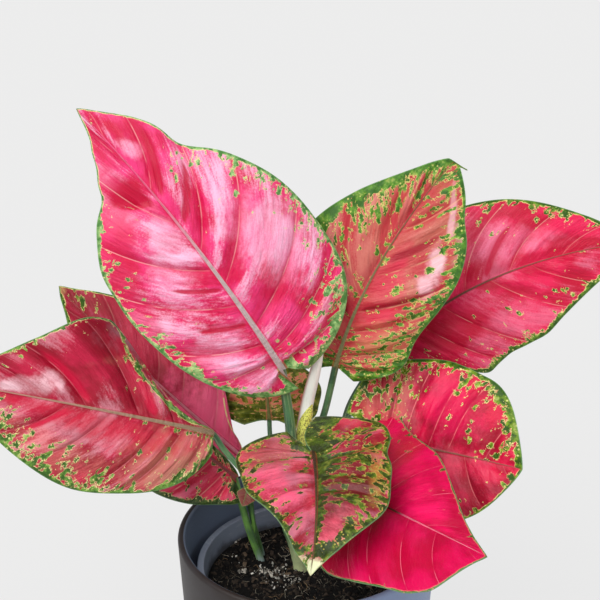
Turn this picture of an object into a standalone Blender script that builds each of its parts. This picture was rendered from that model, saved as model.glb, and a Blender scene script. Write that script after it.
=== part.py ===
"""A potted aglaonema: a cover pot, a nursery pot in it, soil, shoots with leaf stalks, and blades.

Metres, +Z up. The origin is the centre of the cover pot's flat base, and the front looks along +Y.
"""

import math
from dataclasses import dataclass

import bmesh
import bpy
from mathutils import Matrix, Vector, noise

GAP = 0.0003
WELD = 0.00001
AROUND = 56

# The cover pot, a tapered cylinder with a rounded rim.
COVER_HEIGHT = 0.129
COVER_RIM_RADIUS = 0.070
COVER_FOOT_RADIUS = 0.0635
COVER_WALL = 0.0040
COVER_FLOOR = 0.0050
COVER_FOOT_ROUND = 0.0040
RIM_POINTS = 6
FOOT_POINTS = 4

# The nursery pot, a thin tapered cup with its lip turned down and with drain holes.
NURSERY_HEIGHT = 0.1040
NURSERY_RIM_RADIUS = 0.0600
NURSERY_FOOT_RADIUS = 0.0440
NURSERY_WALL = 0.0012
NURSERY_LIP = 0.0024
NURSERY_LIP_DROP = 0.0100
NURSERY_EDGE = 0.0005
DRAIN_HOLES = 6
DRAIN_RADIUS = 0.0040
DRAIN_CIRCLE = 0.0290
DRAIN_SIDES = 12

# The soil fills the nursery pot to a little below its lip.
SOIL_BELOW_LIP = 0.0120
SOIL_MOUND = 0.0020
SOIL_ROUGH = 0.0022
SOIL_GRAIN = 90.0
SOIL_OCTAVES = 2
SOIL_RINGS = 9
SOIL_FLAT_FROM = 0.99

# A blade is thin at its margin and has a keel under its midrib.
BLADE_MARGIN = 0.0008
BLADE_KEEL = 0.0022
KEEL_FALL = 3
ROWS_PER_VEIN = 2
COLUMNS = 5
MIDRIB_STEPS = 40

# The outline is an oval, stretched to the half widths at evenly spaced stations.
OVAL_LOBE_POWER = 0.5
OVAL_TIP_POWER = 0.8
FIRST_STATION = 0.1
STATION_STEP = 0.2

# Side veins leave the midrib close to the base and bend towards the tip, with a quilted blade between.
VEIN_PAIRS = 7
SINUS = 0.012
VEIN_START_POWER = 1.8
VEIN_END_POWER = 1.15
VEIN_BEND = (0.30, 0.55)
QUILT = 0.0010
QUILT_SHOULDER = 0.7

# The curl near the base turns into the curl near the tip by this share of the midrib.
CURL_BLEND = 0.6
RIGHT_WAVE_LAG = 1.7

# A stalk swells into the sheath along the first share of its length.
STALK_STEPS = 4
SHEATH_SWELL = 0.6
SHEATH_SHARE = 0.45

NURSERY_Z = COVER_FLOOR + GAP
LIP_Z = NURSERY_Z + NURSERY_HEIGHT
SOIL_Z = LIP_Z - SOIL_BELOW_LIP


@dataclass
class Leaf:
    """A blade, whose midrib runs from base through middle to tip, and the stalk under it.

    faces is where its top looks. left and right are the half widths at the stations, seen from above
    with the tip ahead, and lobes is how far each side reaches back past the base. fold is how far each
    side rises from the midrib, and curl and tip_curl how far it bends on to its margin, in degrees. wave
    is the height, count and phase of the margin's waves.
    """

    name: str
    base: tuple
    middle: tuple
    tip: tuple
    faces: tuple
    left: tuple
    right: tuple
    lobes: tuple
    stalk: tuple
    stalk_radius: float = 0.0018
    fold: tuple = (8.0, 8.0)
    curl: tuple = (-25.0, -25.0)
    tip_curl: tuple = (-25.0, -25.0)
    wave: tuple = (0.0015, 2.0, 0.0)
    colour: tuple = (0.72, 0.07, 0.14)


@dataclass
class Shoot:
    """A cane from below the soil to its top, its radius at both ends, and the blades on its stalks."""

    name: str
    cane: tuple
    radii: tuple
    blades: tuple
    colour: tuple = (0.14, 0.26, 0.10)


LEAVES = [
    Leaf("blade_tall_left", (-0.009, 0.000, 0.228), (-0.059, 0.000, 0.302), (-0.115, 0.030, 0.358),
         faces=(0.10, -0.90, 0.40), left=(0.029, 0.044, 0.046, 0.034, 0.006),
         right=(0.043, 0.058, 0.054, 0.032, 0.010), lobes=(0.012, 0.004), fold=(4.0, 4.0),
         curl=(-20.0, -20.0), tip_curl=(-20.0, -20.0),
         stalk=((-0.012, 0.001, 0.140), (-0.006, 0.004, 0.180), (-0.009, 0.004, 0.208)),
         stalk_radius=0.0023, wave=(0.0025, 1.5, 0.15), colour=(0.80, 0.16, 0.26)),
    Leaf("blade_tall_right", (0.015, 0.018, 0.220), (0.037, 0.028, 0.274), (0.077, 0.050, 0.325),
         faces=(0.00, -0.90, 0.40), left=(0.021, 0.034, 0.039, 0.030, 0.010),
         right=(0.026, 0.035, 0.041, 0.033, 0.013), lobes=(0.004, 0.003), fold=(14.0, 14.0),
         stalk=((-0.009, 0.006, 0.150), (0.001, 0.015, 0.170), (0.010, 0.022, 0.188)),
         stalk_radius=0.0019, colour=(0.70, 0.20, 0.20)),
    Leaf("blade_far_right", (0.044, 0.048, 0.215), (0.103, 0.062, 0.252), (0.184, 0.080, 0.266),
         faces=(0.00, -0.85, 0.50), left=(0.027, 0.042, 0.041, 0.030, 0.010),
         right=(0.027, 0.042, 0.040, 0.030, 0.012), lobes=(0.004, 0.004),
         stalk=((0.021, 0.022, 0.140), (0.019, 0.036, 0.162), (0.021, 0.044, 0.180),
                (0.032, 0.050, 0.197)),
         stalk_radius=0.0019, colour=(0.66, 0.08, 0.16)),
    Leaf("blade_right", (0.036, 0.010, 0.180), (0.072, -0.002, 0.180), (0.111, -0.020, 0.180),
         faces=(0.10, -0.86, 0.50), left=(0.034, 0.045, 0.048, 0.044, 0.024),
         right=(0.030, 0.040, 0.040, 0.032, 0.014), lobes=(0.018, 0.010), fold=(12.0, 6.0),
         stalk=((0.021, 0.021, 0.138), (0.026, 0.018, 0.158), (0.031, 0.015, 0.171)),
         colour=(0.62, 0.07, 0.14)),
    Leaf("blade_front", (0.003, -0.030, 0.196), (0.004, -0.075, 0.191), (0.001, -0.105, 0.174),
         faces=(0.00, -0.40, 0.90), left=(0.036, 0.042, 0.038, 0.028, 0.009),
         right=(0.031, 0.035, 0.031, 0.021, 0.008), lobes=(0.026, 0.015), fold=(20.0, 8.0),
         stalk=((-0.012, 0.000, 0.146), (-0.006, -0.010, 0.168), (0.001, -0.021, 0.184)),
         wave=(0.0025, 1.5, 0.0), colour=(0.72, 0.10, 0.18)),
    Leaf("blade_front_right", (0.019, -0.026, 0.173), (0.052, -0.068, 0.180), (0.083, -0.104, 0.184),
         faces=(0.10, -0.50, 0.85), left=(0.044, 0.048, 0.040, 0.025, 0.006),
         right=(0.044, 0.050, 0.047, 0.039, 0.016), lobes=(0.015, 0.012), fold=(20.0, 5.0),
         stalk=((0.020, 0.018, 0.125), (0.018, 0.000, 0.144), (0.017, -0.016, 0.160)),
         colour=(0.78, 0.03, 0.13)),
    Leaf("blade_left", (-0.049, 0.000, 0.190), (-0.117, -0.010, 0.212), (-0.189, -0.020, 0.233),
         faces=(-0.05, -0.80, 0.60), left=(0.028, 0.041, 0.042, 0.029, 0.010),
         right=(0.008, 0.031, 0.047, 0.029, 0.009), lobes=(0.003, 0.001),
         curl=(-25.0, -130.0), tip_curl=(-25.0, 0.0),
         stalk=((-0.012, 0.001, 0.138), (-0.023, 0.000, 0.156), (-0.034, 0.000, 0.167),
                (-0.044, 0.003, 0.178)),
         stalk_radius=0.0017, colour=(0.72, 0.10, 0.22)),
    Leaf("blade_back_left", (-0.036, 0.030, 0.158), (-0.090, 0.058, 0.196), (-0.139, 0.075, 0.241),
         faces=(0.10, -0.80, 0.55), left=(0.010, 0.030, 0.036, 0.026, 0.009),
         right=(0.008, 0.029, 0.036, 0.027, 0.011), lobes=(0.000, 0.000),
         stalk=((-0.025, 0.018, 0.100), (-0.031, 0.019, 0.130), (-0.034, 0.024, 0.146)),
         colour=(0.50, 0.04, 0.10)),
    Leaf("blade_low_left", (-0.039, 0.016, 0.153), (-0.065, 0.022, 0.181), (-0.098, 0.032, 0.206),
         faces=(-0.10, -0.80, 0.60), left=(0.025, 0.035, 0.038, 0.030, 0.012),
         right=(0.009, 0.019, 0.026, 0.024, 0.010), lobes=(0.014, 0.002),
         stalk=((-0.027, 0.017, 0.102), (-0.035, 0.017, 0.128), (-0.038, 0.019, 0.141)),
         colour=(0.60, 0.07, 0.12)),
    Leaf("blade_back", (-0.021, 0.047, 0.172), (-0.023, 0.064, 0.186), (-0.026, 0.085, 0.204),
         faces=(0.00, -0.80, 0.60), left=(0.024, 0.029, 0.029, 0.021, 0.008),
         right=(0.028, 0.036, 0.036, 0.025, 0.008), lobes=(0.008, 0.008),
         stalk=((-0.011, 0.003, 0.130), (-0.015, 0.023, 0.147), (-0.020, 0.039, 0.162)),
         stalk_radius=0.0014, colour=(0.36, 0.14, 0.10)),
    Leaf("blade_small", (-0.031, 0.009, 0.153), (-0.033, 0.006, 0.147), (-0.035, 0.003, 0.140),
         faces=(-0.10, -0.95, 0.30), left=(0.005, 0.007, 0.006, 0.004, 0.002),
         right=(0.005, 0.007, 0.006, 0.004, 0.002), lobes=(0.001, 0.001),
         stalk=((-0.026, 0.018, 0.100), (-0.028, 0.018, 0.130), (-0.028, 0.014, 0.147)),
         stalk_radius=0.0011, wave=(0.0003, 1.0, 0.0), colour=(0.40, 0.10, 0.08)),
]

SHOOTS = [
    Shoot("shoot_front", ((-0.004, 0.008, 0.070), (-0.004, 0.008, 0.097), (-0.008, 0.004, 0.116),
                          (-0.012, 0.001, 0.136), (-0.011, 0.003, 0.152)), (0.0044, 0.0036),
          ("blade_tall_left", "blade_tall_right", "blade_front", "blade_left", "blade_back")),
    Shoot("shoot_left", ((-0.026, 0.018, 0.075), (-0.026, 0.018, 0.104)), (0.0042, 0.0038),
          ("blade_back_left", "blade_low_left", "blade_small")),
    Shoot("shoot_right", ((0.018, 0.024, 0.072), (0.018, 0.024, 0.097), (0.019, 0.022, 0.120),
                          (0.021, 0.021, 0.142)), (0.0040, 0.0034),
          ("blade_far_right", "blade_right", "blade_front_right")),
]

# The furled new leaf stands in a sheath of the front shoot.
SHEATH = ((-0.011, 0.004, 0.148), (-0.005, 0.009, 0.170), (-0.0015, 0.0115, 0.187))
SHEATH_RADIUS = 0.0030
FURLED = ((-0.0015, 0.0115, 0.187), (0.0022, 0.0135, 0.203), (0.0070, 0.0125, 0.223),
          (0.0115, 0.0105, 0.246))
FURLED_RADIUS = 0.0032
FURLED_STEP = 0.22
FURLED_SEAM = 200.0
FURLED_SIDES = 14
FURLED_TAPER = 2.2


def smoothstep(low, high, value):
    """0 below low, 1 above high, and a smooth rise between them."""
    share = min(1.0, max(0.0, (value - low) / (high - low)))
    return share * share * (3.0 - 2.0 * share)


def spread(ends, count):
    """Evenly spaced values from the first end to the last."""
    return [ends[0] + (ends[1] - ends[0]) * i / (count - 1) for i in range(count)]


def spline(a, b, c, d, t):
    """A smooth curve through b (t = 0) and c (t = 1), with a before and d after them."""
    lift = a * 2.0 - b * 5.0 + c * 4.0 - d
    swing = b * 3.0 - a - c * 3.0 + d
    return b + ((c - a) * t + lift * t * t + swing * t * t * t) / 2.0


def oval(share):
    """An egg-shaped outline, round at the lobes (0) and pointed at the tip (1)."""
    return share**OVAL_LOBE_POWER * (1.0 - share) ** OVAL_TIP_POWER


def half_width(widths, share):
    """The half width from the back of the lobes (0) to the tip (1), through the widths at the stations."""
    if share >= 1.0:
        return 0.0
    ratios = [width / oval(FIRST_STATION + STATION_STEP * i) for i, width in enumerate(widths)]
    ratios = ratios[:1] + ratios + ratios[-1:]
    place = min(max((share - FIRST_STATION) / STATION_STEP, 0.0), len(widths) - 1.0)
    index = min(int(place), len(widths) - 2)
    return oval(share) * spline(*ratios[index:index + 4], place - index)


def flat_point(leaf, length, along, across):
    """Where a point lies on the flat blade, as distances ahead of the base and beside the midrib.

    along counts the side veins from the base (0) to the tip (1), and across runs along a vein from
    the midrib (0) to the left margin (-1) or the right one (1).
    """
    widths, lobe = (leaf.right, leaf.lobes[1]) if across > 0.0 else (leaf.left, leaf.lobes[0])
    out = abs(across)
    share = SINUS + (1.0 - SINUS) * along**VEIN_END_POWER
    start = length * along**VEIN_START_POWER
    end = share * (length + lobe) - lobe
    bend_x, bend_y = VEIN_BEND
    near = 2.0 * out * (1.0 - out)
    x = start + (end - start) * (near * bend_x + out * out)
    y = half_width(widths, share) * (near * bend_y + out * out)
    return x, y


class Blade:
    """The blade's surface in space, from the flat blade and the midrib's curve."""

    def __init__(self, leaf):
        self.leaf = leaf
        self.base, self.tip = Vector(leaf.base), Vector(leaf.tip)
        self.pull = Vector(leaf.middle) * 2.0 - (self.base + self.tip) / 2.0
        steps = [self.on_midrib(i / MIDRIB_STEPS) for i in range(MIDRIB_STEPS + 1)]
        self.length = sum((b - a).length for a, b in zip(steps, steps[1:]))

    def on_midrib(self, share):
        """The midrib's point at a share of its length."""
        rest = 1.0 - share
        return self.base * rest * rest + self.pull * 2.0 * rest * share + self.tip * share * share

    def frame(self, share):
        """The midrib's heading, the way the blade looks there, and the way to its right side."""
        ahead = ((self.pull - self.base) * (1.0 - share) + (self.tip - self.pull) * share).normalized()
        looks = Vector(self.leaf.faces)
        looks = (looks - ahead * looks.dot(ahead)).normalized()
        return ahead, looks, ahead.cross(looks)

    def point(self, along, across):
        """The surface at a side vein, and across from the left margin (-1) to the right one (1)."""
        leaf = self.leaf
        side = 1 if across > 0.0 else 0
        x, reach = flat_point(leaf, self.length, along, across)
        share = min(1.0, max(0.0, x / self.length))
        ahead, looks, right = self.frame(share)
        at = self.on_midrib(share) + ahead * min(0.0, x)
        mix = smoothstep(0.0, CURL_BLEND, share)
        curl = leaf.curl[side] * (1.0 - mix) + leaf.tip_curl[side] * mix
        breadth = reach / max(leaf.left + leaf.right)
        bend = math.radians(curl) * breadth
        slant = math.radians(leaf.fold[side]) + bend / 2.0
        chord = math.sin(bend / 2.0) / (bend / 2.0) if abs(bend) > 1e-6 else 1.0
        height = reach * math.sin(slant) * chord
        swell, waves, phase = leaf.wave
        turn = 2.0 * math.pi * (waves * along + phase) + RIGHT_WAVE_LAG * side
        height += swell * breadth * breadth * math.sin(turn)
        between = math.sin(math.pi * VEIN_PAIRS * along) ** 2
        height += QUILT * between * math.sin(math.pi * abs(across) ** QUILT_SHOULDER)
        sideways = math.copysign(reach * math.cos(slant) * chord, across)
        return at + right * sideways + looks * height


def own_material(obj, colour, roughness):
    """Gives the object a Principled material of its own."""
    material = bpy.data.materials.new(obj.name)
    material.use_nodes = True
    shader = material.node_tree.nodes["Principled BSDF"]
    shader.inputs["Base Color"].default_value = (*colour, 1.0)
    shader.inputs["Roughness"].default_value = roughness
    shader.inputs["Metallic"].default_value = 0.0
    obj.data.materials.clear()
    obj.data.materials.append(material)


def add_object(name, shape, collection):
    """An object from a finished bmesh."""
    mesh = bpy.data.meshes.new(name)
    shape.to_mesh(mesh)
    shape.free()
    obj = bpy.data.objects.new(name, mesh)
    collection.objects.link(obj)
    return obj


def as_mesh(source):
    """The object's evaluated shape as a welded mesh object, which takes the source's name and place."""
    depsgraph = bpy.context.evaluated_depsgraph_get()
    mesh = bpy.data.meshes.new_from_object(source.evaluated_get(depsgraph))
    shape = bmesh.new()
    shape.from_mesh(mesh)
    bmesh.ops.remove_doubles(shape, verts=shape.verts, dist=WELD)
    shape.to_mesh(mesh)
    shape.free()
    name, place, homes = source.name, source.matrix_world.copy(), list(source.users_collection)
    bpy.data.objects.remove(source)
    made = bpy.data.objects.new(name, mesh)
    made.matrix_world = place
    for home in homes:
        home.objects.link(made)
    return made


def turned(name, profile, collection):
    """A solid turned about Z, from (radius, height) points that run out, over the top and down outside."""
    shape = bmesh.new()
    line = [shape.verts.new((radius, 0.0, height)) for radius, height in profile]
    for start, end in zip(line, line[1:]):
        shape.edges.new((start, end))
    obj = add_object(name, shape, collection)
    screw = obj.modifiers.new("turn", "SCREW")
    screw.steps = AROUND
    screw.render_steps = AROUND
    screw.use_merge_vertices = True
    screw.merge_threshold = WELD
    return obj


def arc(centre, radius, start, end, count):
    """Points of a profile's round stretch, with angles in degrees from straight out."""
    angles = [math.radians(angle) for angle in spread((start, end), count + 1)]
    return [(centre[0] + radius * math.cos(a), centre[1] + radius * math.sin(a)) for a in angles]


def smooth_path(points, per_span=STALK_STEPS):
    """Points on a smooth curve through the given ones."""
    points = [Vector(point) for point in points]
    ends = [points[0] * 2.0 - points[1]] + points + [points[-1] * 2.0 - points[-2]]
    path = []
    for a, b, c, d in zip(ends, ends[1:], ends[2:], ends[3:]):
        path += [spline(a, b, c, d, step / per_span) for step in range(per_span)]
    return path + [points[-1]]


def tube(name, path, radii, collection):
    """A round closed tube along a path, as a mesh."""
    curve = bpy.data.curves.new(name, "CURVE")
    curve.dimensions = "3D"
    curve.bevel_depth = 1.0
    curve.bevel_resolution = 2
    curve.use_fill_caps = True
    line = curve.splines.new("POLY")
    line.points.add(len(path) - 1)
    for point, place, radius in zip(line.points, path, radii):
        point.co = (*place, 1.0)
        point.radius = radius
    obj = bpy.data.objects.new(name, curve)
    collection.objects.link(obj)
    return as_mesh(obj)


def hide(obj):
    """Marks an object as a cutter."""
    obj.hide_render = True
    obj.display_type = "WIRE"
    return obj


def cut(obj, tool):
    """Cuts the tool's shape out of the object."""
    less = obj.modifiers.new(tool.name, "BOOLEAN")
    less.operation = "DIFFERENCE"
    less.object = hide(tool)
    less.solver = "EXACT"


def fuse(pieces, parts):
    """One body from pieces that overlap, under the first one's name."""
    group = bpy.data.collections.new(pieces[0].name + "_pieces")
    bpy.context.scene.collection.children.link(group)
    for piece in pieces[1:]:
        group.objects.link(piece)
        parts.objects.unlink(piece)
    union = pieces[0].modifiers.new("fuse", "BOOLEAN")
    union.operation = "UNION"
    union.operand_type = "COLLECTION"
    union.collection = group
    union.solver = "EXACT"
    made = as_mesh(pieces[0])
    for piece in pieces[1:]:
        bpy.data.objects.remove(piece)
    bpy.data.collections.remove(group)
    return made


def build_cover_pot(parts):
    """The outer pot: a tapered wall with a round rim and a rounded foot."""
    half = COVER_WALL / 2.0
    inner_foot = COVER_FOOT_RADIUS - COVER_WALL
    profile = [(0.0, COVER_FLOOR), (inner_foot - COVER_WALL, COVER_FLOOR)]
    profile.append((inner_foot, COVER_FLOOR + COVER_WALL))
    profile += arc((COVER_RIM_RADIUS - half, COVER_HEIGHT - half), half, 180.0, 0.0, RIM_POINTS)
    foot = (COVER_FOOT_RADIUS - COVER_FOOT_ROUND, COVER_FOOT_ROUND)
    profile += arc(foot, COVER_FOOT_ROUND, 0.0, -90.0, FOOT_POINTS)
    profile.append((0.0, 0.0))
    obj = turned("cover_pot", profile, parts)
    own_material(obj, (0.030, 0.030, 0.034), 0.45)


def nursery_radius(height):
    """The nursery pot's outer wall radius at a height over its foot."""
    top = NURSERY_RIM_RADIUS - NURSERY_LIP
    return NURSERY_FOOT_RADIUS + (top - NURSERY_FOOT_RADIUS) * height / NURSERY_HEIGHT


def build_nursery_pot(parts, cutters):
    """The inner pot: a thin cup with its lip turned down outside, and holes in its floor."""
    top, edge = NURSERY_HEIGHT, NURSERY_EDGE
    mouth = nursery_radius(top) - NURSERY_WALL
    lip_inner = NURSERY_RIM_RADIUS - NURSERY_WALL
    lip_foot = top - NURSERY_LIP_DROP
    under = top - NURSERY_WALL
    profile = [(0.0, NURSERY_WALL), (nursery_radius(NURSERY_WALL) - NURSERY_WALL, NURSERY_WALL)]
    profile += [(mouth, top - edge), (mouth + edge, top)]
    profile += [(NURSERY_RIM_RADIUS - edge, top), (NURSERY_RIM_RADIUS, top - edge)]
    profile += [(NURSERY_RIM_RADIUS, lip_foot), (lip_inner, lip_foot)]
    profile += [(lip_inner, under), (nursery_radius(under), under)]
    profile += [(nursery_radius(0.0), 0.0), (0.0, 0.0)]
    obj = turned("nursery_pot", [(radius, NURSERY_Z + height) for radius, height in profile], parts)
    own_material(obj, (0.12, 0.13, 0.15), 0.5)
    drills = bmesh.new()
    for hole in range(DRAIN_HOLES):
        turn = 2.0 * math.pi * hole / DRAIN_HOLES
        side, ahead = DRAIN_CIRCLE * math.cos(turn), DRAIN_CIRCLE * math.sin(turn)
        place = Matrix.Translation((side, ahead, NURSERY_Z))
        bmesh.ops.create_cone(drills, cap_ends=True, segments=DRAIN_SIDES, radius1=DRAIN_RADIUS,
                              radius2=DRAIN_RADIUS, depth=4.0 * NURSERY_WALL, matrix=place)
    cut(obj, add_object("drain_drills", drills, cutters))


def build_soil(parts, cutters):
    """The soil: it fills the nursery pot, has an uneven top, and holes for the canes."""
    floor = NURSERY_Z + NURSERY_WALL + GAP
    inset = NURSERY_WALL + GAP
    foot = nursery_radius(floor - NURSERY_Z) - inset
    edge = nursery_radius(SOIL_Z - NURSERY_Z) - inset
    profile = [(edge * ring / SOIL_RINGS, SOIL_Z) for ring in range(SOIL_RINGS + 1)]
    profile += [(foot, floor), (0.0, floor)]
    obj = as_mesh(turned("soil", profile, parts))
    for vert in obj.data.vertices:
        reach = math.hypot(vert.co.x, vert.co.y) / edge
        if vert.co.z > SOIL_Z - GAP and reach < SOIL_FLAT_FROM:
            rough = noise.fractal(vert.co * SOIL_GRAIN, 1.0, 2.0, SOIL_OCTAVES)
            vert.co.z += SOIL_MOUND * (1.0 - reach**2) + SOIL_ROUGH * rough
    for shoot in SHOOTS:
        cane = smooth_path(shoot.cane)
        below = cane[0] + (cane[0] - cane[1]).normalized() * GAP
        radii = [radius + GAP for radius in spread(shoot.radii, len(cane))]
        cut(obj, tube(shoot.name + "_hole", [below] + cane[1:], radii, cutters))
    own_material(obj, (0.045, 0.032, 0.024), 0.95)


def stalk_path(leaf):
    """The stalk's path from its cane to the keel under its blade's base."""
    blade = Blade(leaf)
    ahead, looks, _ = blade.frame(0.0)
    arrive = (blade.base - Vector(leaf.stalk[-1])).normalized()
    drop = BLADE_KEEL + 2.0 * GAP + leaf.stalk_radius * math.sqrt(1.0 - arrive.dot(looks) ** 2)
    end = blade.base + ahead * leaf.stalk_radius - looks * drop
    return smooth_path((*leaf.stalk, end))


def build_shoot(shoot, parts):
    """A cane and its leaf stalks, grown together as one body."""
    cane = smooth_path(shoot.cane)
    pieces = [tube(shoot.name, cane, spread(shoot.radii, len(cane)), parts)]
    for leaf in LEAVES:
        if leaf.name in shoot.blades:
            path = stalk_path(leaf)
            shares = spread((0.0, 1.0), len(path))
            swells = [SHEATH_SWELL * (1.0 - smoothstep(0.0, SHEATH_SHARE, share)) for share in shares]
            radii = [leaf.stalk_radius * (1.0 + swell) for swell in swells]
            pieces.append(tube(leaf.name + "_stalk", path, radii, parts))
    if shoot.name == SHOOTS[0].name:
        path = smooth_path(SHEATH)
        pieces.append(tube("sheath", path, [SHEATH_RADIUS] * len(path), parts))
    obj = fuse(pieces, parts)
    obj.data.shade_smooth()
    own_material(obj, shoot.colour, 0.4)


def build_blade(leaf, parts):
    """A blade as an open surface with waved margins, thickened under its top."""
    blade = Blade(leaf)
    rows = VEIN_PAIRS * ROWS_PER_VEIN
    shape = bmesh.new()
    keel = shape.verts.layers.deform.verify()
    grid = []
    for row in range(rows + 1):
        along = row / rows
        line = []
        for column in range(-COLUMNS, COLUMNS + 1):
            across = column / COLUMNS
            vert = shape.verts.new(blade.point(along, across))
            vert[keel][0] = (1.0 - abs(across)) ** KEEL_FALL * (1.0 - along**2)
            line.append(vert)
        grid.append(line)
    for near, far in zip(grid, grid[1:]):
        for column in range(2 * COLUMNS):
            shape.faces.new((near[column], near[column + 1], far[column + 1], far[column]))
    bmesh.ops.remove_doubles(shape, verts=shape.verts, dist=WELD)
    bmesh.ops.triangulate(shape, faces=shape.faces)
    obj = add_object(leaf.name, shape, parts)
    obj.vertex_groups.new(name="keel")
    thick = obj.modifiers.new("thickness", "SOLIDIFY")
    thick.thickness = BLADE_KEEL
    thick.offset = -1.0
    thick.vertex_group = "keel"
    thick.thickness_vertex_group = BLADE_MARGIN / BLADE_KEEL
    obj.data.shade_smooth()
    own_material(obj, leaf.colour, 0.35)


def build_furled(parts):
    """The new leaf, rolled up, with a step where the roll's edge lies on the turn below it."""
    axis = smooth_path(FURLED)
    lift = (axis[1] - axis[0]).normalized() * 2.0 * GAP
    shape = bmesh.new()
    rings = []
    for row, centre in enumerate(axis[:-1]):
        ahead = (axis[row + 1] - centre).normalized()
        out = ahead.cross(Vector((0.0, -1.0, 0.0))).normalized()
        front = ahead.cross(out)
        radius = FURLED_RADIUS * (1.0 - (row / (len(axis) - 1)) ** FURLED_TAPER)
        ring = []
        for side in range(FURLED_SIDES):
            turn = side / FURLED_SIDES
            angle = 2.0 * math.pi * turn + math.radians(FURLED_SEAM)
            away = out * math.cos(angle) + front * math.sin(angle)
            ring.append(shape.verts.new(centre + lift + away * radius * (1.0 - FURLED_STEP * turn)))
        rings.append(ring)
    tip = shape.verts.new(axis[-1])
    for side in range(FURLED_SIDES):
        after = (side + 1) % FURLED_SIDES
        for near, far in zip(rings, rings[1:]):
            shape.faces.new((near[side], near[after], far[after], far[side]))
        shape.faces.new((rings[-1][side], rings[-1][after], tip))
    shape.faces.new(rings[0])
    bmesh.ops.recalc_face_normals(shape, faces=shape.faces)
    obj = add_object("new_leaf", shape, parts)
    obj.data.shade_smooth()
    own_material(obj, (0.80, 0.80, 0.62), 0.35)


def main():
    """Builds the plant in an empty scene."""
    for obj in list(bpy.context.scene.objects):
        bpy.data.objects.remove(obj)
    parts = bpy.data.collections.new("potted_aglaonema")
    cutters = bpy.data.collections.new("cutters")
    bpy.context.scene.collection.children.link(parts)
    bpy.context.scene.collection.children.link(cutters)
    build_cover_pot(parts)
    build_nursery_pot(parts, cutters)
    build_soil(parts, cutters)
    for shoot in SHOOTS:
        build_shoot(shoot, parts)
    for leaf in LEAVES:
        build_blade(leaf, parts)
    build_furled(parts)


main()
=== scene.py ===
"""Dresses the potted aglaonema: its blades, stalks, furled new leaf, both pots and the soil.

Metres, +Z up. The origin is the centre of the cover pot's base, and the front view looks along +Y.
Blades follow the same midribs and outlines as the frame's solids, with veins, quilting and margins
added. Colours are display colours, in steps of 255.
"""

import logging
import math
import random
from dataclasses import dataclass, field, replace
from enum import Enum
from functools import partial, reduce

import bmesh
import bpy
import numpy as np
from mathutils import Euler, Matrix, Vector, noise
from mathutils.kdtree import KDTree


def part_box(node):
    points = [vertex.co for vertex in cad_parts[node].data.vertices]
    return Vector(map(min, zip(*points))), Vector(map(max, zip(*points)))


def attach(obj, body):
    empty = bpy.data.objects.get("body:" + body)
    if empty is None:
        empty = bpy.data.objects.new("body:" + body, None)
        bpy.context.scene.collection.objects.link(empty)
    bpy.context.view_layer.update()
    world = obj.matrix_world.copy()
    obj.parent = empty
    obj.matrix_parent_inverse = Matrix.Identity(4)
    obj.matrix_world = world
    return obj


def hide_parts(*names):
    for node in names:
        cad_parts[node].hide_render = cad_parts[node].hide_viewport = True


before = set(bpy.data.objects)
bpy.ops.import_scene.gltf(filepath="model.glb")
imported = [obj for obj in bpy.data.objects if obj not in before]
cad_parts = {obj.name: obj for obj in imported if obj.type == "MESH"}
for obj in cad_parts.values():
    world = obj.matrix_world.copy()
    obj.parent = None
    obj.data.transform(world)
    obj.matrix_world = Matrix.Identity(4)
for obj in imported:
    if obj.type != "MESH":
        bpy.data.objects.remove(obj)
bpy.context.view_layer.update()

log = logging.getLogger("aglaonema")

Array = np.ndarray
Colour = tuple[int, int, int]
Pair = tuple[float, float]
Point = tuple[float, float, float]
Thick = tuple[float, float, float, float]
Material = bpy.types.Material
Node = bpy.types.Node
Object = bpy.types.Object
Socket = bpy.types.NodeSocket
Value = float | Socket
Inputs = dict[int | str, float | Point | Socket]

BODY = "root"
WELD = 0.000002
TINY = 1e-12

# The blade's outline and venation, as in the frame's solids.
OVAL_LOBE_POWER = 0.5
OVAL_TIP_POWER = 0.8
DRIP_START = 0.86
FIRST_STATION = 0.1
STATION_STEP = 0.2
VEIN_PAIRS = 7
VEIN_START_POWER = 1.8
VEIN_END_POWER = 1.15
VEIN_BEND = (0.36, 0.68)
CURL_BLEND = 0.6
RIGHT_WAVE_LAG = 1.7
MIDRIB_STEPS = 60

# The blade's fine relief.
QUILT_SHOULDER = 0.7
RIGHT_VEIN_LAG = 0.5
GROOVE_WIDTH = 0.0013
RIB_TOP = 0.0009
RIB_DITCH = 0.0005
RIB_DITCH_AT = 1.7
RIB_DITCH_WIDTH = 0.7
RIB_KEEL = 0.0018
KEEL_WIDTH = 1.3
RIB_TIP_WIDTH = 0.00025
RIB_TAPER = 1.6
RIPPLE_RISE = 1.3
CROWDING = 0.7
CENTRE_CROWDING = (0.35, 0.65)
VEIN_WANDER = 0.16
WANDER_RATE = 2.4
WANDER_TURN = 1.7
VEIN_DEPTHS = (0.4, 1.4)
PUFFS = (0.55, 1.25)
HALF_VEIN = 0.35
HALF_VEIN_WIDTH = 0.1
FAR_FROM_VEINS = 0.05
# CREST, CREST_PUFF and CREST_PLEAT weigh the crest mask, where the finish paints a highlight.
CREST = 0.25
CREST_PUFF = 0.55
CREST_PLEAT = 0.35
MARGIN_THICKNESS = 0.0006
RIDGE_DEPTH = 0.0007
BODY_REACH = 0.006
UNEVEN = 0.0005
UNEVEN_GRAIN = 55.0
SEED_STEP = 0.37
LUMP_STEP = 3.1
DEEP_COLOUR = 0.9
PLEATS = 2.6
PLEAT_RUN = 2.2
PLEATS_APART = 9.0
FINE_PLEATS = 2.3
FINE_PLEAT_RUN = 1.6
PLEAT_LAYERS = (1.3, 2.6)
PLEAT_SHARES = (1.5, 0.8)
PLEAT_LIMIT = 1.2


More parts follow.
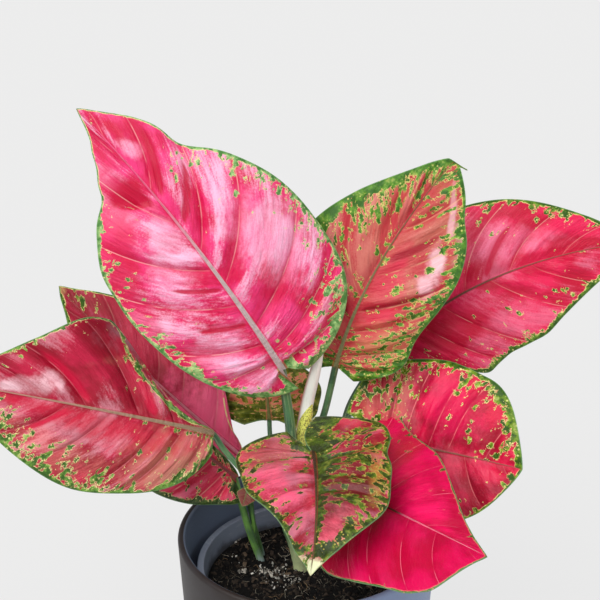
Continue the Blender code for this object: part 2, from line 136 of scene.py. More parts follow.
def tint(red: int, green: int, blue: int) -> Point:
    """The shader's linear colour of a display colour given in steps of 255."""

    def linear(step: int) -> float:
        """One channel, as a share of full light."""
        share = step / 255.0
        return share / 12.92 if share <= 0.04045 else ((share + 0.055) / 1.055) ** 2.4

    return linear(red), linear(green), linear(blue)


def smoothstep(low: float, high: float, value: Array | float) -> Array | float:
    """0 below low, 1 above high, and a smooth rise between them."""
    share = np.clip((value - low) / (high - low), 0.0, 1.0)
    return share * share * (3.0 - 2.0 * share)


def spline(a: Array, b: Array, c: Array, d: Array, t: Array | float) -> Array:
    """A smooth curve between two points.

    Args:
        a: the point before them.
        b: where the curve starts.
        c: where it ends.
        d: the point after them.
        t: the place on it, from 0 to 1.

    Returns:
        The point there.
    """
    lift = a * 2.0 - b * 5.0 + c * 4.0 - d
    swing = b * 3.0 - a - c * 3.0 + d
    return b + ((c - a) * t + lift * t * t + swing * t * t * t) / 2.0


def smooth_path(points: list[Point], per_span: int) -> Array:
    """Points on a smooth curve through the given ones.

    Args:
        points: the points that the curve passes.
        per_span: how many steps each span between two points gets.

    Returns:
        The curve's points, one a row.
    """
    given = np.array(points, float)
    ends = np.vstack((given[0] * 2.0 - given[1], given, given[-1] * 2.0 - given[-2]))
    path = []
    for a, b, c, d in zip(ends, ends[1:], ends[2:], ends[3:]):
        path += [spline(a, b, c, d, step / per_span) for step in range(per_span)]
    return np.array(path + [given[-1]])


def unit(vectors: Array) -> Array:
    """The vectors along the last axis, made one long."""
    return vectors / np.maximum(np.linalg.norm(vectors, axis=-1, keepdims=True), TINY)


class Side(Enum):
    """A side of a blade, seen from above with the tip ahead."""

    LEFT = 0
    RIGHT = 1


class Web:
    """A material's shader nodes, added one by one and joined."""

    def __init__(self, name: str) -> None:
        """Starts a material with only its Principled shader.

        Args:
            name: the material's name.
        """
        self.material = bpy.data.materials.new(name)
        self.material.use_nodes = True
        self.tree = self.material.node_tree
        self.shader = self.tree.nodes["Principled BSDF"]

    def put(self, node: Node, socket: int | str, value: Value | Colour | Point) -> None:
        """Joins a socket to one of the node's inputs, or sets the input's number or colour.

        Args:
            node: the node.
            socket: the input's number or name.
            value: the socket, number, colour or point that it gets.
        """
        if isinstance(value, Socket):
            self.tree.links.new(value, node.inputs[socket])
        elif isinstance(value, tuple) and node.inputs[socket].type == "RGBA":
            node.inputs[socket].default_value = (*tint(*value), 1.0)
        else:
            node.inputs[socket].default_value = value

    def node(self, kind: str, inputs: Inputs, **settings: str | bool) -> Node:
        """A new node.

        Args:
            kind: what it is, as the shader's node types are named.
            inputs: what its inputs get, by number or name.
            settings: its settings, by name.

        Returns:
            The node, in the material.
        """
        made = self.tree.nodes.new("ShaderNode" + kind)
        for name, value in settings.items():
            setattr(made, name, value)
        for socket, value in inputs.items():
            self.put(made, socket, value)
        return made

    def math(self, operation: str, first: Value, second: Value = 0.0, clamp: bool = False) -> Socket:
        """The result of a sum or function of one or two values."""
        return self.node("Math", {0: first, 1: second}, operation=operation, use_clamp=clamp).outputs[0]

    def times(self, *values: Value) -> Socket:
        """The product of all the values."""
        return reduce(partial(self.math, "MULTIPLY"), values)

    def plus(self, *values: Value) -> Socket:
        """The sum of all the values."""
        return reduce(partial(self.math, "ADD"), values)

    def less(self, value: Value, gone: Value) -> Socket:
        """A mask with another mask taken out of it."""
        return self.times(value, self.math("SUBTRACT", 1.0, gone, clamp=True))

    def fade(self, value: Value, reach: float) -> Socket:
        """1 where the value is 0, falling off over the reach."""
        return self.math("EXPONENT", self.times(value, -1.0 / reach))

    def rise(self, value: Value, low: Value, high: Value, start: float = 0.0, end: float = 1.0) -> Socket:
        """A smooth change from start to end while the value goes from low to high."""
        inputs = dict(enumerate((value, low, high, start, end)))
        return self.node("MapRange", inputs, interpolation_type="SMOOTHSTEP").outputs[0]

    def mix(self, share: Value, first: Value | Colour, second: Value | Colour) -> Socket:
        """A colour between two colours: the first at a share of 0, the second at 1."""
        return self.node("Mix", {0: share, 6: first, 7: second}, data_type="RGBA").outputs[2]

    def value(self, name: str) -> Socket:
        """A number that the mesh holds at each point."""
        return self.node("Attribute", {}, attribute_name=name).outputs["Fac"]

    def vector(self, name: str) -> Socket:
        """A vector that the mesh holds at each point."""
        return self.node("Attribute", {}, attribute_name=name).outputs["Vector"]

    def place(self) -> Socket:
        """The point in the object's own space."""
        return self.node("TexCoord", {}).outputs["Object"]

    def part(self, vector: Socket, axis: str) -> Socket:
        """A vector's part along one axis."""
        return self.node("SeparateXYZ", {0: vector}).outputs[axis]

    def scaled(self, vector: Socket, scale: Point, shift: Point = (0.0, 0.0, 0.0)) -> Socket:
        """A vector stretched along its axes, then moved."""
        return self.node("VectorMath", {0: vector, 1: scale, 2: shift}, operation="MULTIPLY_ADD").outputs[0]

    def moved(self, vector: Socket, shift: Point) -> Socket:
        """A vector moved, so that a pattern falls elsewhere."""
        return self.scaled(vector, (1.0, 1.0, 1.0), shift)

    def noise(self, vector: Socket, scale: float, detail: float = 2.0, rough: float = 0.5,
              warp: float = 0.0) -> Socket:
        """Cloudy noise from 0 to 1, mostly near 0.5."""
        inputs = {"Vector": vector, "Scale": scale, "Detail": detail, "Roughness": rough, "Distortion": warp}
        return self.node("TexNoise", inputs).outputs["Fac"]

    def cells(self, vector: Socket, scale: float) -> tuple[Socket, Socket]:
        """The distance to the nearest of many scattered points, and that point's own luck (0 to 1)."""
        made = self.node("TexVoronoi", {"Vector": vector, "Scale": scale})
        return made.outputs["Distance"], self.part(made.outputs["Color"], "X")

    def bump(self, height: Value, distance: float, under: Socket | None = None) -> Socket:
        """The surface's tilt from a height map, on top of another tilt."""
        tilt = {} if under is None else {"Normal": under}
        return self.node("Bump", {"Height": height, "Distance": distance, **tilt}).outputs["Normal"]

    def finish(self, colour: Value | Colour, rough: Value, normal: Socket | None = None,
               **uniform: float) -> Material:
        """Joins the colour, roughness and tilt to the shader.

        Args:
            colour: the base colour.
            rough: the roughness.
            normal: the tilt of the surface, or None.
            uniform: other inputs of the shader, with _ for a space, that are the same all over.

        Returns:
            The finished material.
        """
        self.put(self.shader, "Base Color", colour)
        self.put(self.shader, "Roughness", rough)
        if normal is not None:
            self.put(self.shader, "Normal", normal)
        for name, number in uniform.items():
            self.shader.inputs[name.replace("_", " ")].default_value = number
        return self.material


@dataclass(frozen=True)
class Patch:
    """A soft-edged region of a blade with a colour laid on it. Some regions are the blade's own colour,
    and some are painted highlights and painted shade.

    along and across are its centre, as shares of the blade's length and of the half's width (left is
    below 0), with length and width for its size in the same shares. green above 0 draws green spots in,
    and below 0 keeps them out. A solid patch lies evenly over the pleats.
    """

    along: float
    across: float
    length: float
    width: float
    colour: Colour
    strength: float = 0.7
    green: float = 0.0
    solid: bool = False

    def mask(self, web: Web, plan: Socket) -> Socket:
        """1 in the middle of the region and 0 outside it, with a cloudy edge.

        Args:
            web: the material's nodes.
            plan: the place on the flat blade.

        Returns:
            The mask.
        """
        ahead = web.math("DIVIDE", web.plus(web.value("along"), -self.along), self.length)
        aside = web.math("DIVIDE", web.plus(web.value("across"), -self.across), self.width)
        far = web.math("SQRT", web.plus(web.times(ahead, ahead), web.times(aside, aside)))
        cloud = web.noise(web.moved(plan, (self.along, 0.0, 0.0)), 110.0, 4.0, 0.65)
        return web.rise(web.plus(far, web.times(cloud, 1.5), -0.75), 1.1, 0.35)

    def cover(self, web: Web, mask: Socket, painted_sheen: Socket) -> Socket:
        """How much of the region's colour shows. Unless the patch is solid, a pale colour follows the
        painted highlight, and a deep one the painted shade between.

        Args:
            web: the material's nodes.
            mask: the region's mask.
            painted_sheen: the mask of the painted highlight on the flesh, low where painted shade lies.

        Returns:
            The share of the colour.
        """
        if self.solid:
            return web.times(mask, self.strength)
        if sum(tint(*self.colour)) < DEEP_COLOUR:
            return web.times(mask, web.rise(painted_sheen, 1.3, 0.0, 0.45, 1.0), self.strength)
        return web.times(mask, web.rise(painted_sheen, -0.35, 1.05, 0.1, 1.0), self.strength)


@dataclass(frozen=True)
class LeafFinish:
    """The top of a blade: pink flesh, a green margin, green spots with cream rings, veins and the midrib.

    Pairs are for the left and the right half. Widths are in metres, and grains say how many spots fit in
    a metre. margin is the width of the green edge (lobe_margin times that at the lobes), spread how far
    in from it the spots reach, blots how readily the green runs together (-1 to 1), freckles the share
    of small spots, everywhere their share far from the edge, and heart how the green gathers at the
    midrib. lengthwise is how far spots follow the veins, and calm_tip how far the green fades toward the
    tip. blush is the deep colour along the midrib. crest_sheen is how strongly the pale colour lies on the
    swellings' tops as a painted highlight, vein_shade how strongly the deep colour lies along the side
    veins as painted shade in their grooves, and mottle_and_shade how much deep colour lies between the
    painted highlights, partly as mottling and partly as painted shade. line is how clear the veins' pale
    lines are. The midrib goes over from rib_foot to rib_tip between the shares of rib_turn. crease_shade
    is the colour of the painted shade in folds, and sheen that of a painted highlight along the very edge.
    """

    flesh: Colour = (236, 58, 126)
    deep: Colour = (208, 8, 72)
    pale: Colour = (254, 194, 224)
    crease_shade: Colour = (194, 0, 54)
    green: Colour = (118, 164, 62)
    dark: Colour = (52, 92, 22)
    ring: Colour = (226, 218, 150)
    sheen: Colour = (150, 196, 140)
    vein: Colour = (250, 196, 190)
    rib_foot: Colour = (214, 184, 178)
    rib_tip: Colour = (216, 90, 120)
    rib_turn: Pair = (0.05, 0.85)
    margin: Pair = (0.0014, 0.0014)
    lobe_margin: float = 1.0
    spread: Pair = (0.01, 0.01)
    blots: Pair = (0.0, 0.0)
    freckles: Pair = (0.5, 0.5)
    heart: Pair = (0.0, 0.0)
    heart_reach: float = 0.01
    everywhere: float = 0.06
    blush: float = 0.0
    crest_sheen: float = 0.8
    vein_shade: float = 0.6
    vein_shade_reach: float = 0.0016
    line: float = 0.5
    line_width: float = 0.0003
    mottle_and_shade: float = 0.5
    calm_tip: float = 0.0
    blot_grain: float = 210.0
    freckle_grain: float = 270.0
    lengthwise: float = 0.4
    patches: tuple[Patch, ...] = ()
    crinkle: float = 0.0012
    rough: float = 0.32
    shine: float = 0.28

    def build(self, name: str) -> Material:
        """The material, which reads what the blade's mesh holds at each point.

        Args:
            name: the material's name.

        Returns:
            The material.
        """
        web = Web(name)
        plan = web.vector("plan")
        flow = web.vector("flow")
        masks = [patch.mask(web, plan) for patch in self.patches]
        colour = self.flesh_colour(web, flow, plan, masks)
        depth = self.green_depth(web, plan, masks)
        green = web.rise(depth, -0.00005, 0.0001)
        halo = web.less(web.rise(depth, -0.00045, -0.0002), green)
        calm = web.rise(web.value("beside"), 0.0, 0.028, 1.0 - 2.0 * max(self.heart), 1.0)
        broken = web.rise(web.noise(web.moved(plan, (0.5, 0.0, 0.0)), 240.0), 0.3, 0.5)
        colour = web.mix(web.times(halo, broken, calm, 0.9), colour, self.ring)
        colour = web.mix(green, colour, self.green_colour(web, plan, depth))
        colour = self.bone(web, colour)
        grain = web.noise(plan, 1900.0, 2.0)
        ripple = web.noise(web.scaled(flow, (0.5, 1.4, 1.0)), 300.0, 4.0, 0.6)
        tilt = web.bump(ripple, self.crinkle, web.bump(grain, 0.00022))
        rough = web.plus(web.times(ripple, 0.2), web.times(green, 0.06), self.rough - 0.1)
        return web.finish(colour, rough, tilt, Specular_IOR_Level=self.shine, Coat_Weight=0.06,
                          Coat_Roughness=0.2)

    def flesh_colour(self, web: Web, flow: Socket, plan: Socket, masks: list[Socket]) -> Socket:
        """The pink, with painted shade in the deep colour along the veins and in folds, and a painted
        highlight in the pale colour, finely speckled, on the swellings' tops.

        Args:
            web: the material's nodes.
            flow: the place along and across the veins.
            plan: the place on the flat blade.
            masks: the masks of the patches.

        Returns:
            The flesh's colour.
        """
        broad = web.noise(web.scaled(plan, (1.2, 0.8, 1.0)), 45.0, 4.0, 0.6)
        fine = web.noise(plan, 1000.0, 3.0, 0.75)
        grain = web.noise(web.scaled(flow, (0.4, 1.2, 1.0)), 420.0, 3.0, 0.65)
        pleat = web.noise(web.scaled(flow, (0.4, 1.0, 1.0)), 130.0, 3.0, 0.6)
        # crest and painted_sheen: streaky noise raised on the swellings' tops, the mask of the painted
        # highlight.
        crest = web.value("crest")
        painted_sheen = web.plus(pleat, web.times(grain, 1.2), web.times(fine, 0.9), web.times(crest, 0.9), -1.5)
        # ground: broad clouds of deep and flesh, a little lighter on the swellings' tops as painted light.
        ground = web.rise(web.plus(broad, web.times(crest, 0.12)), 0.42, 0.66)
        colour = web.mix(ground, self.deep, self.flesh)
        # deep colour where painted_sheen is low: partly mottling, partly painted shade between the
        # highlights.
        colour = web.mix(web.rise(painted_sheen, 0.5, 0.05, 0.0, self.mottle_and_shade), colour, self.deep)
        # patch and light: where the pale colour lies on the flesh as a painted highlight.
        patch = web.noise(web.scaled(plan, (1.0, 0.8, 1.0), (0.7, 0.2, 0.0)), 26.0, 3.0, 0.5)
        light = web.rise(web.plus(painted_sheen, web.times(patch, 2.6), -1.3), 0.45, 1.15)
        colour = web.mix(web.times(light, self.crest_sheen), colour, self.pale)
        for region, mask in zip(self.patches, masks):
            colour = web.mix(region.cover(web, mask, painted_sheen), colour, region.colour)
        inner = web.fade(web.value("beside"), self.heart_reach)
        colour = web.mix(web.times(inner, self.blush), colour, self.deep)
        # painted shade: the deep colour in the grooves of the side veins.
        groove_shade = web.fade(web.value("vein"), self.vein_shade_reach)
        colour = web.mix(web.times(groove_shade, self.vein_shade), colour, self.deep)
        # painted shade in the folds, where the creases lie.
        colour = web.mix(web.times(web.rise(web.value("fold"), 0.15, 0.6), 0.9), colour, self.crease_shade)
        thread = web.rise(web.value("vein"), 1.9 * self.line_width, 0.6 * self.line_width)
        lit = web.rise(web.noise(web.moved(plan, (0.0, 0.9, 0.0)), 90.0), 0.34, 0.52)
        outer = web.rise(web.value("beside"), 0.002, 0.016, 0.35, 1.0)
        return web.mix(web.times(thread, lit, outer, self.line), colour, self.vein)

    def green_depth(self, web: Web, plan: Socket, masks: list[Socket]) -> Socket:
        """How far a point lies inside the green, in metres, below 0 outside it.

        Args:
            web: the material's nodes.
            plan: the place on the flat blade.
            masks: the masks of the patches.

        Returns:
            The depth.
        """
        right = web.rise(web.value("across"), -0.01, 0.01)

        def sided(pair: Pair) -> Socket:
            """The left or the right value, by the half of the blade that the point is on."""
            return web.plus(web.times(right, pair[1] - pair[0]), pair[0])

        edge = web.value("edge")
        wander = web.noise(web.moved(plan, (0.0, 0.0, 2.0)), 120.0, 4.0, 0.65)
        drawn = web.plus(0.0, *(web.times(mask, patch.green) for patch, mask in zip(self.patches, masks)))
        width = web.times(sided(self.margin), web.plus(web.times(wander, 4.0), -1.0),
                          web.rise(web.value("along"), 0.22, -0.02, 1.0, self.lobe_margin),
                          web.rise(web.value("along"), 0.66, 0.8, 1.0, 1.0 - 0.7 * self.calm_tip),
                          web.rise(drawn, -0.25, -0.15))
        band = web.math("SUBTRACT", width, edge)
        near = web.math("EXPONENT", web.times(web.math("DIVIDE", edge, sided(self.spread)), -1.0))
        near = web.times(near, web.rise(web.value("along"), 0.55, 0.85, 1.0, 1.0 - self.calm_tip))
        heart = web.fade(web.value("beside"), self.heart_reach)
        gather = web.plus(web.times(near, 0.24), web.times(heart, sided(self.heart)),
                          web.times(sided(self.blots), 0.2), drawn, -0.76)
        course = web.mix(self.lengthwise, plan, web.scaled(web.vector("flow"), (0.55, 1.6, 1.0)))
        clouds = web.noise(course, self.blot_grain, 4.0, 0.62, 0.4)
        blot = web.times(web.plus(clouds, gather), 3.4 / self.blot_grain)
        dot, luck = web.cells(web.moved(course, (0.1, 0.4, 0.0)), self.freckle_grain)
        crowd = web.rise(web.noise(plan, 75.0, 2.0), 0.36, 0.6, 0.3, 1.5)
        chance = web.times(sided(self.freckles), web.plus(near, drawn, self.everywhere), crowd)
        size = web.times(web.rise(web.math("SUBTRACT", chance, luck), 0.0, 0.6), 0.42)
        fray = web.times(web.math("SUBTRACT", web.noise(plan, 560.0, 3.0, 0.65), 0.5), 1.7)
        freckle = web.times(web.plus(size, web.times(dot, -1.0), fray, -0.02), 1.0 / self.freckle_grain)
        freckle = web.math("SUBTRACT", freckle, web.rise(size, 0.08, 0.0, 0.0, 0.002))
        return web.math("MAXIMUM", web.math("MAXIMUM", band, blot), freckle)

    def green_colour(self, web: Web, plan: Socket, depth: Socket) -> Socket:
        """The green, dark and light in clouds, with pale dots and a painted highlight along the very edge.

        Args:
            web: the material's nodes.
            plan: the place on the flat blade.
            depth: how far the point lies inside the green.

        Returns:
            The green's colour.
        """
        tone = web.noise(plan, 230.0, 4.0, 0.65)
        leafy = web.mix(web.rise(tone, 0.42, 0.6), self.dark, self.green)
        leafy = web.mix(web.times(web.rise(depth, 0.0004, 0.0012), 0.4), leafy, self.dark)
        leafy = web.mix(web.times(web.rise(tone, 0.57, 0.7), 0.35), leafy, self.ring)
        dots, _ = web.cells(web.moved(plan, (0.3, 0.1, 0.0)), 520.0)
        few = web.rise(web.noise(plan, 130.0), 0.5, 0.58)
        leafy = web.mix(web.times(web.rise(dots, 0.34, 0.2), few, 0.8), leafy, self.ring)
        # painted highlight: the sheen colour along the very edge.
        return web.mix(web.rise(web.value("edge"), 0.0006, 0.0001, 0.0, 0.35), leafy, self.sheen)

    def bone(self, web: Web, colour: Socket) -> Socket:
        """The midrib over the flesh, with fine lengthwise lines and painted shade in a crease on each side.

        Args:
            web: the material's nodes.
            colour: the colour under it.

        Returns:
            The colour with the midrib.
        """
        along = web.value("along")
        rib = web.rise(web.value("rib"), 0.95, 0.75)
        # painted shade in the groove on each side of the midrib.
        crease = web.rise(web.math("ABSOLUTE", web.plus(web.value("rib"), -1.15)), 0.45, 0.0)
        colour = web.mix(web.times(crease, 0.6), colour, self.deep)
        lines = web.noise(web.scaled(web.vector("flow"), (3.0, 0.15, 1.0)), 1200.0, 2.0)
        cord = web.mix(web.rise(along, *self.rib_turn), self.rib_foot, self.rib_tip)
        cord = web.mix(web.rise(lines, 0.55, 0.4, 0.0, 0.35), cord, self.dark)
        return web.mix(web.times(rib, web.rise(along, 1.0, 0.9)), colour, cord)


@dataclass(frozen=True)
class UndersideFinish:
    """The underside of a blade: duller and paler, with the main veins standing out."""

    flesh: Colour = (176, 96, 108)
    green: Colour = (96, 128, 84)
    rib: Colour = (132, 150, 104)
    green_margin: float = 0.004

    def build(self, name: str) -> Material:
        """The material, which reads what the blade's mesh holds at each point.

        Args:
            name: the material's name.

        Returns:
            The material.
        """
        web = Web(name)
        flow = web.vector("flow")
        blots = web.noise(web.scaled(flow, (0.8, 1.4, 1.0)), 120.0, 4.0, 0.6, 0.3)
        near = web.fade(web.value("edge"), self.green_margin)
        green = web.rise(web.plus(blots, web.times(near, 0.3)), 0.6, 0.66)
        colour = web.mix(green, self.flesh, self.green)
        line = web.rise(web.value("vein"), 0.0011, 0.0002, 0.0, 0.6)
        colour = web.mix(line, colour, self.rib)
        colour = web.mix(web.rise(web.value("rib"), 1.0, 0.6), colour, self.rib)
        grain = web.noise(flow, 1500.0, 3.0)
        return web.finish(colour, web.plus(web.times(grain, 0.15), 0.42), web.bump(grain, 0.0003),
                          Specular_IOR_Level=0.4)


@dataclass(frozen=True)
class StalkFinish:
    """The skin of a cane and its stalks: green with fine lengthwise lines, paler at its foot.

    The sheath round the new leaf is yellow-green with brown specks.
    """

    green: Colour = (84, 130, 82)
    shade: Colour = (46, 86, 56)
    foot: Colour = (218, 232, 172)
    sheath: Colour = (226, 228, 108)
    speck: Colour = (126, 120, 52)
    foot_reach: Pair = (0.1, 0.13)

    def build(self, name: str) -> Material:
        """The material, which reads the place in the tube's skin that the mesh holds.

        Args:
            name: the material's name.

        Returns:
            The material.
        """
        web = Web(name)
        skin = web.vector("skin")
        lines = web.noise(web.scaled(skin, (1.0, 1.0, 0.05)), 1100.0, 3.0, 0.6)
        blots = web.noise(web.scaled(skin, (1.0, 1.0, 0.35)), 160.0, 3.0)
        colour = web.mix(web.rise(blots, 0.36, 0.64), self.shade, self.green)
        colour = web.mix(web.rise(lines, 0.5, 0.74, 0.0, 0.35), colour, self.foot)
        # painted shade: a stalk that lies in the shade behind the others takes the shade colour.
        colour = web.mix(web.value("shaded"), colour, self.shade)
        low, high = self.foot_reach
        ragged = web.plus(web.part(web.place(), "Z"), web.times(web.math("SUBTRACT", blots, 0.5), 0.03))
        colour = web.mix(web.rise(ragged, high, low), colour, self.foot)
        dots = web.noise(skin, 1300.0, 3.0, 0.6)
        papery = web.mix(web.rise(dots, 0.47, 0.62), self.sheath, self.speck)
        colour = web.mix(web.value("sheath"), colour, papery)
        return web.finish(colour, web.plus(web.times(lines, 0.15), 0.32), web.bump(lines, 0.0003),
                          Specular_IOR_Level=0.45, Coat_Weight=0.15, Coat_Roughness=0.3)


@dataclass(frozen=True)
class NewLeafFinish:
    """The furled leaf: cream white, with a green line and a pink flush along its seam."""

    cream: Colour = (254, 255, 246)
    green: Colour = (118, 144, 84)
    flush: Colour = (196, 120, 112)

    def build(self, name: str) -> Material:
        """The material, which reads the turn round the roll.

        Args:
            name: the material's name.

        Returns:
            The material.
        """
        web = Web(name)
        turn = web.value("turn")
        streak = web.noise(web.scaled(web.place(), (1.0, 1.0, 0.08)), 1300.0, 3.0, 0.6)
        colour = web.mix(web.rise(streak, 0.5, 0.75, 0.0, 0.12), self.cream, self.green)
        colour = web.mix(web.rise(turn, 0.1, 0.0, 0.0, 0.9), colour, self.flush)
        colour = web.mix(web.rise(turn, 0.82, 0.95, 0.0, 0.8), colour, self.green)
        return web.finish(colour, 0.35, web.bump(streak, 0.0002), Specular_IOR_Level=0.45)


@dataclass(frozen=True)
class CoverPotFinish:
    """The cover pot's coating: slate blue inside and brownish black outside, with a fine matt grain.

    Outside, it goes over to a lighter slate blue towards the right, between the two places of turn. That
    change is painted light: the slate blue on the right is a painted reflection, and the brownish black
    on the left is partly painted shade.
    """

    outside: Colour = (36, 28, 25)
    slate: Colour = (122, 137, 168)
    inside: Colour = (108, 121, 144)
    worn: Colour = (92, 96, 108)
    turn: Pair = (0.004, 0.034)

    def build(self, name: str) -> Material:
        """The material, which reads how far round the wall's section a point is.

        Args:
            name: the material's name.

        Returns:
            The material.
        """
        web = Web(name)
        spot = web.place()
        cloud = web.noise(spot, 22.0, 4.0, 0.6)
        grain = web.noise(spot, 1600.0, 3.0, 0.6)
        dust = web.noise(spot, 260.0, 5.0, 0.7)
        # right: the share over to the right, which carries the painted reflection.
        right = web.rise(web.plus(web.part(spot, "X"), web.times(cloud, 0.012)), *self.turn)
        outside_and_reflection = web.mix(right, self.outside, self.slate)
        colour = web.mix(web.rise(web.value("wall"), 0.42, 0.56), self.inside, outside_and_reflection)
        colour = web.mix(web.rise(cloud, 0.35, 0.65, 0.0, 0.1), colour, self.worn)
        colour = web.mix(web.rise(dust, 0.66, 0.74, 0.0, 0.2), colour, self.worn)
        rough = web.plus(web.times(cloud, 0.16), web.times(grain, 0.1), 0.36)
        return web.finish(colour, rough, web.bump(grain, 0.00012), Specular_IOR_Level=0.32)


@dataclass(frozen=True)
class PlasticFinish:
    """The nursery pot's thin grey plastic, scuffed along its lip and dusty with soil inside."""

    grey: Colour = (128, 138, 156)
    scuff: Colour = (176, 184, 196)
    dirt: Colour = (40, 34, 28)
    dirt_line: Pair = (0.1085, 0.1035)

    def build(self, name: str) -> Material:
        """The material in the object's own space.

        Args:
            name: the material's name.

        Returns:
            The material.
        """
        web = Web(name)
        spot = web.place()
        scratch = web.noise(web.scaled(spot, (1.0, 1.0, 9.0)), 90.0, 5.0, 0.7)
        smear = web.noise(spot, 60.0, 5.0, 0.65)
        colour = web.mix(web.rise(scratch, 0.56, 0.72, 0.0, 0.5), self.grey, self.scuff)
        low = web.plus(web.part(spot, "Z"), web.times(smear, 0.012))
        colour = web.mix(web.rise(low, *self.dirt_line, 0.0, 0.75), colour, self.dirt)
        rough = web.plus(web.times(scratch, 0.2), 0.32)
        return web.finish(colour, rough, web.bump(scratch, 0.0002), Specular_IOR_Level=0.5)


@dataclass(frozen=True)
class LooseFinish:
    """Something loose in the soil: bark, crumbs, fibres or white grains, each piece in its own tone."""

    dark: Colour
    light: Colour
    grain: float = 700.0
    rough: float = 0.9

    def build(self, name: str) -> Material:
        """The material, which reads each piece's own tone from the mesh.

        Args:
            name: the material's name.

        Returns:
            The material.
        """
        web = Web(name)
        fleck = web.noise(web.place(), self.grain, 4.0, 0.65)
        share = web.plus(web.times(fleck, 0.9), web.value("tone"), -0.45)
        colour = web.mix(web.rise(share, 0.15, 1.05), self.dark, self.light)
        return web.finish(colour, self.rough, web.bump(fleck, 0.0006), Specular_IOR_Level=0.25)


@dataclass(frozen=True)
class StudioFinish:
    """The plain pale floor, which glows a little so that shadows on it stay faint."""

    pale: Colour = (80, 80, 80)
    cloudy: Colour = (76, 76, 76)
    light: Colour = (255, 255, 255)
    glow: float = 0.745

    def build(self, name: str) -> Material:
        """The material, with a faint unevenness.

        Args:
            name: the material's name.

        Returns:
            The material.
        """
        web = Web(name)
        cloud = web.noise(web.place(), 0.8, 2.0)
        colour = web.mix(web.times(cloud, 0.02), self.pale, self.cloudy)
        web.put(web.shader, "Emission Color", self.light)
        return web.finish(colour, 0.95, Specular_IOR_Level=0.0, Emission_Strength=self.glow)


def hold(mesh: bpy.types.Mesh, name: str, values: Array) -> None:
    """Keeps a number or a vector at each point of a mesh, for the finish to read.

    Args:
        mesh: the mesh.
        name: the name that the finish reads it under.
        values: the numbers, or the vectors in rows.
    """
    kind, part = ("FLOAT_VECTOR", "vector") if values.ndim == 2 else ("FLOAT", "value")
    layer = mesh.attributes.new(name, kind, "POINT")
    layer.data.foreach_set(part, values.astype(np.float32).ravel())


@dataclass
class Form:
    """Points, faces and what is held at each point, before they become an object."""

    points: Array
    faces: list[tuple[int, ...]]
    held: dict[str, Array]
    slots: list[int] | None = None

    def make(self, name: str, materials: list[Material], smooth: bool = True, weld: bool = True) -> Object:
        """The object these points and faces make.

        Args:
            name: the object's name.
            materials: its materials, in the order of the faces' slots.
            smooth: whether it is shaded smooth.
            weld: whether points on the same spot become one.

        Returns:
            The object, in the scene.
        """
        mesh = bpy.data.meshes.new(name)
        mesh.from_pydata(self.points.tolist(), [], self.faces)
        for key, values in self.held.items():
            hold(mesh, key, values)
        if self.slots is not None:
            mesh.polygons.foreach_set("material_index", self.slots)
        if weld:
            shape = bmesh.new()
            shape.from_mesh(mesh)
            bmesh.ops.remove_doubles(shape, verts=shape.verts, dist=WELD)
            shape.to_mesh(mesh)
            shape.free()
        for material in materials:
            mesh.materials.append(material)
        if smooth:
            mesh.shade_smooth()
        made = bpy.data.objects.new(name, mesh)
        bpy.context.scene.collection.objects.link(made)
        return made


def joined(forms: list[Form]) -> Form:
    """Several forms as one, with the same things held at their points.

    Args:
        forms: the forms, one at least.

    Returns:
        The one form.
    """
    start = 0
    faces: list[tuple[int, ...]] = []
    for form in forms:
        faces += [tuple(corner + start for corner in face) for face in form.faces]
        start += len(form.points)
    held = {key: np.concatenate([form.held[key] for form in forms]) for key in forms[0].held}
    return Form(np.concatenate([form.points for form in forms]), faces, held)


def grid_faces(rows: int, columns: int, start: int = 0, wrap: bool = False) -> list[tuple[int, ...]]:
    """The four-cornered faces of a grid of points.

    Args:
        rows: how many rows of points there are.
        columns: how many points a row has.
        start: the first point's number.
        wrap: whether each row closes on itself.

    Returns:
        The faces, row by row.
    """
    faces = []
    for row in range(rows - 1):
        for column in range(columns if wrap else columns - 1):
            after = (column + 1) % columns
            near, far = start + row * columns, start + (row + 1) * columns
            faces.append((near + column, near + after, far + after, far + column))
    return faces


def settle(piece: Object, slot: str, *nodes: str) -> None:
    """Puts a finished piece on the body, in place of the frame's nodes.

    Args:
        piece: the piece.
        slot: its finish slot; not used.
        nodes: the nodes that it replaces.
    """
    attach(piece, BODY)
    if nodes:
        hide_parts(*nodes)
    log.info("%s: %d faces", piece.name, len(piece.data.polygons))


@dataclass(frozen=True)
class Ripple:
    """A place where the margin leaves the even outline.

    at and width are shares of the blade's length, lift is how far the margin rises there, pull is the
    share of the half width that it draws in, and slide how far it moves over toward the other side. bow is
    how far the blade between the midrib and the margin moves over toward the other side.
    """

    side: Side
    at: float
    width: float
    lift: float = 0.0
    pull: float = 0.0
    slide: float = 0.0
    bow: float = 0.0

    def swell(self, share: Array, sides: Array) -> Array:
        """1 at the ripple's place and 0 away from it, on its own side only."""
        return np.exp(-(((share - self.at) / self.width) ** 2)) * (sides == self.side.value)


@dataclass(frozen=True)
class Crease:
    """A sharp fold that runs along the side veins.

    at is its place, counted in side veins from the base, width its width in the same count, and reach the
    share of the half that it crosses. steep below 1 makes its side toward the base steeper, and slant is
    how far its place shifts from the midrib to the margin.
    """

    side: Side
    at: float
    depth: float = 0.0015
    width: float = 0.16
    reach: float = 1.0
    steep: float = 1.0
    slant: float = 0.0

    def dip(self, count: Array, out: Array, sides: Array) -> Array:
        """How deep the fold is at each point, as a share of its depth.

        Args:
            count: how many side veins lie below the place.
            out: the share of the half, from the midrib to the margin.
            sides: 0 on the left half, 1 on the right.

        Returns:
            The shares.
        """
        beyond = count - self.at - self.slant * out
        sharp = np.exp(-np.abs(beyond) / np.where(beyond < 0.0, self.width * self.steep, self.width))
        return sharp * (1.0 - smoothstep(0.6 * self.reach, self.reach, out)) * (sides == self.side.value)


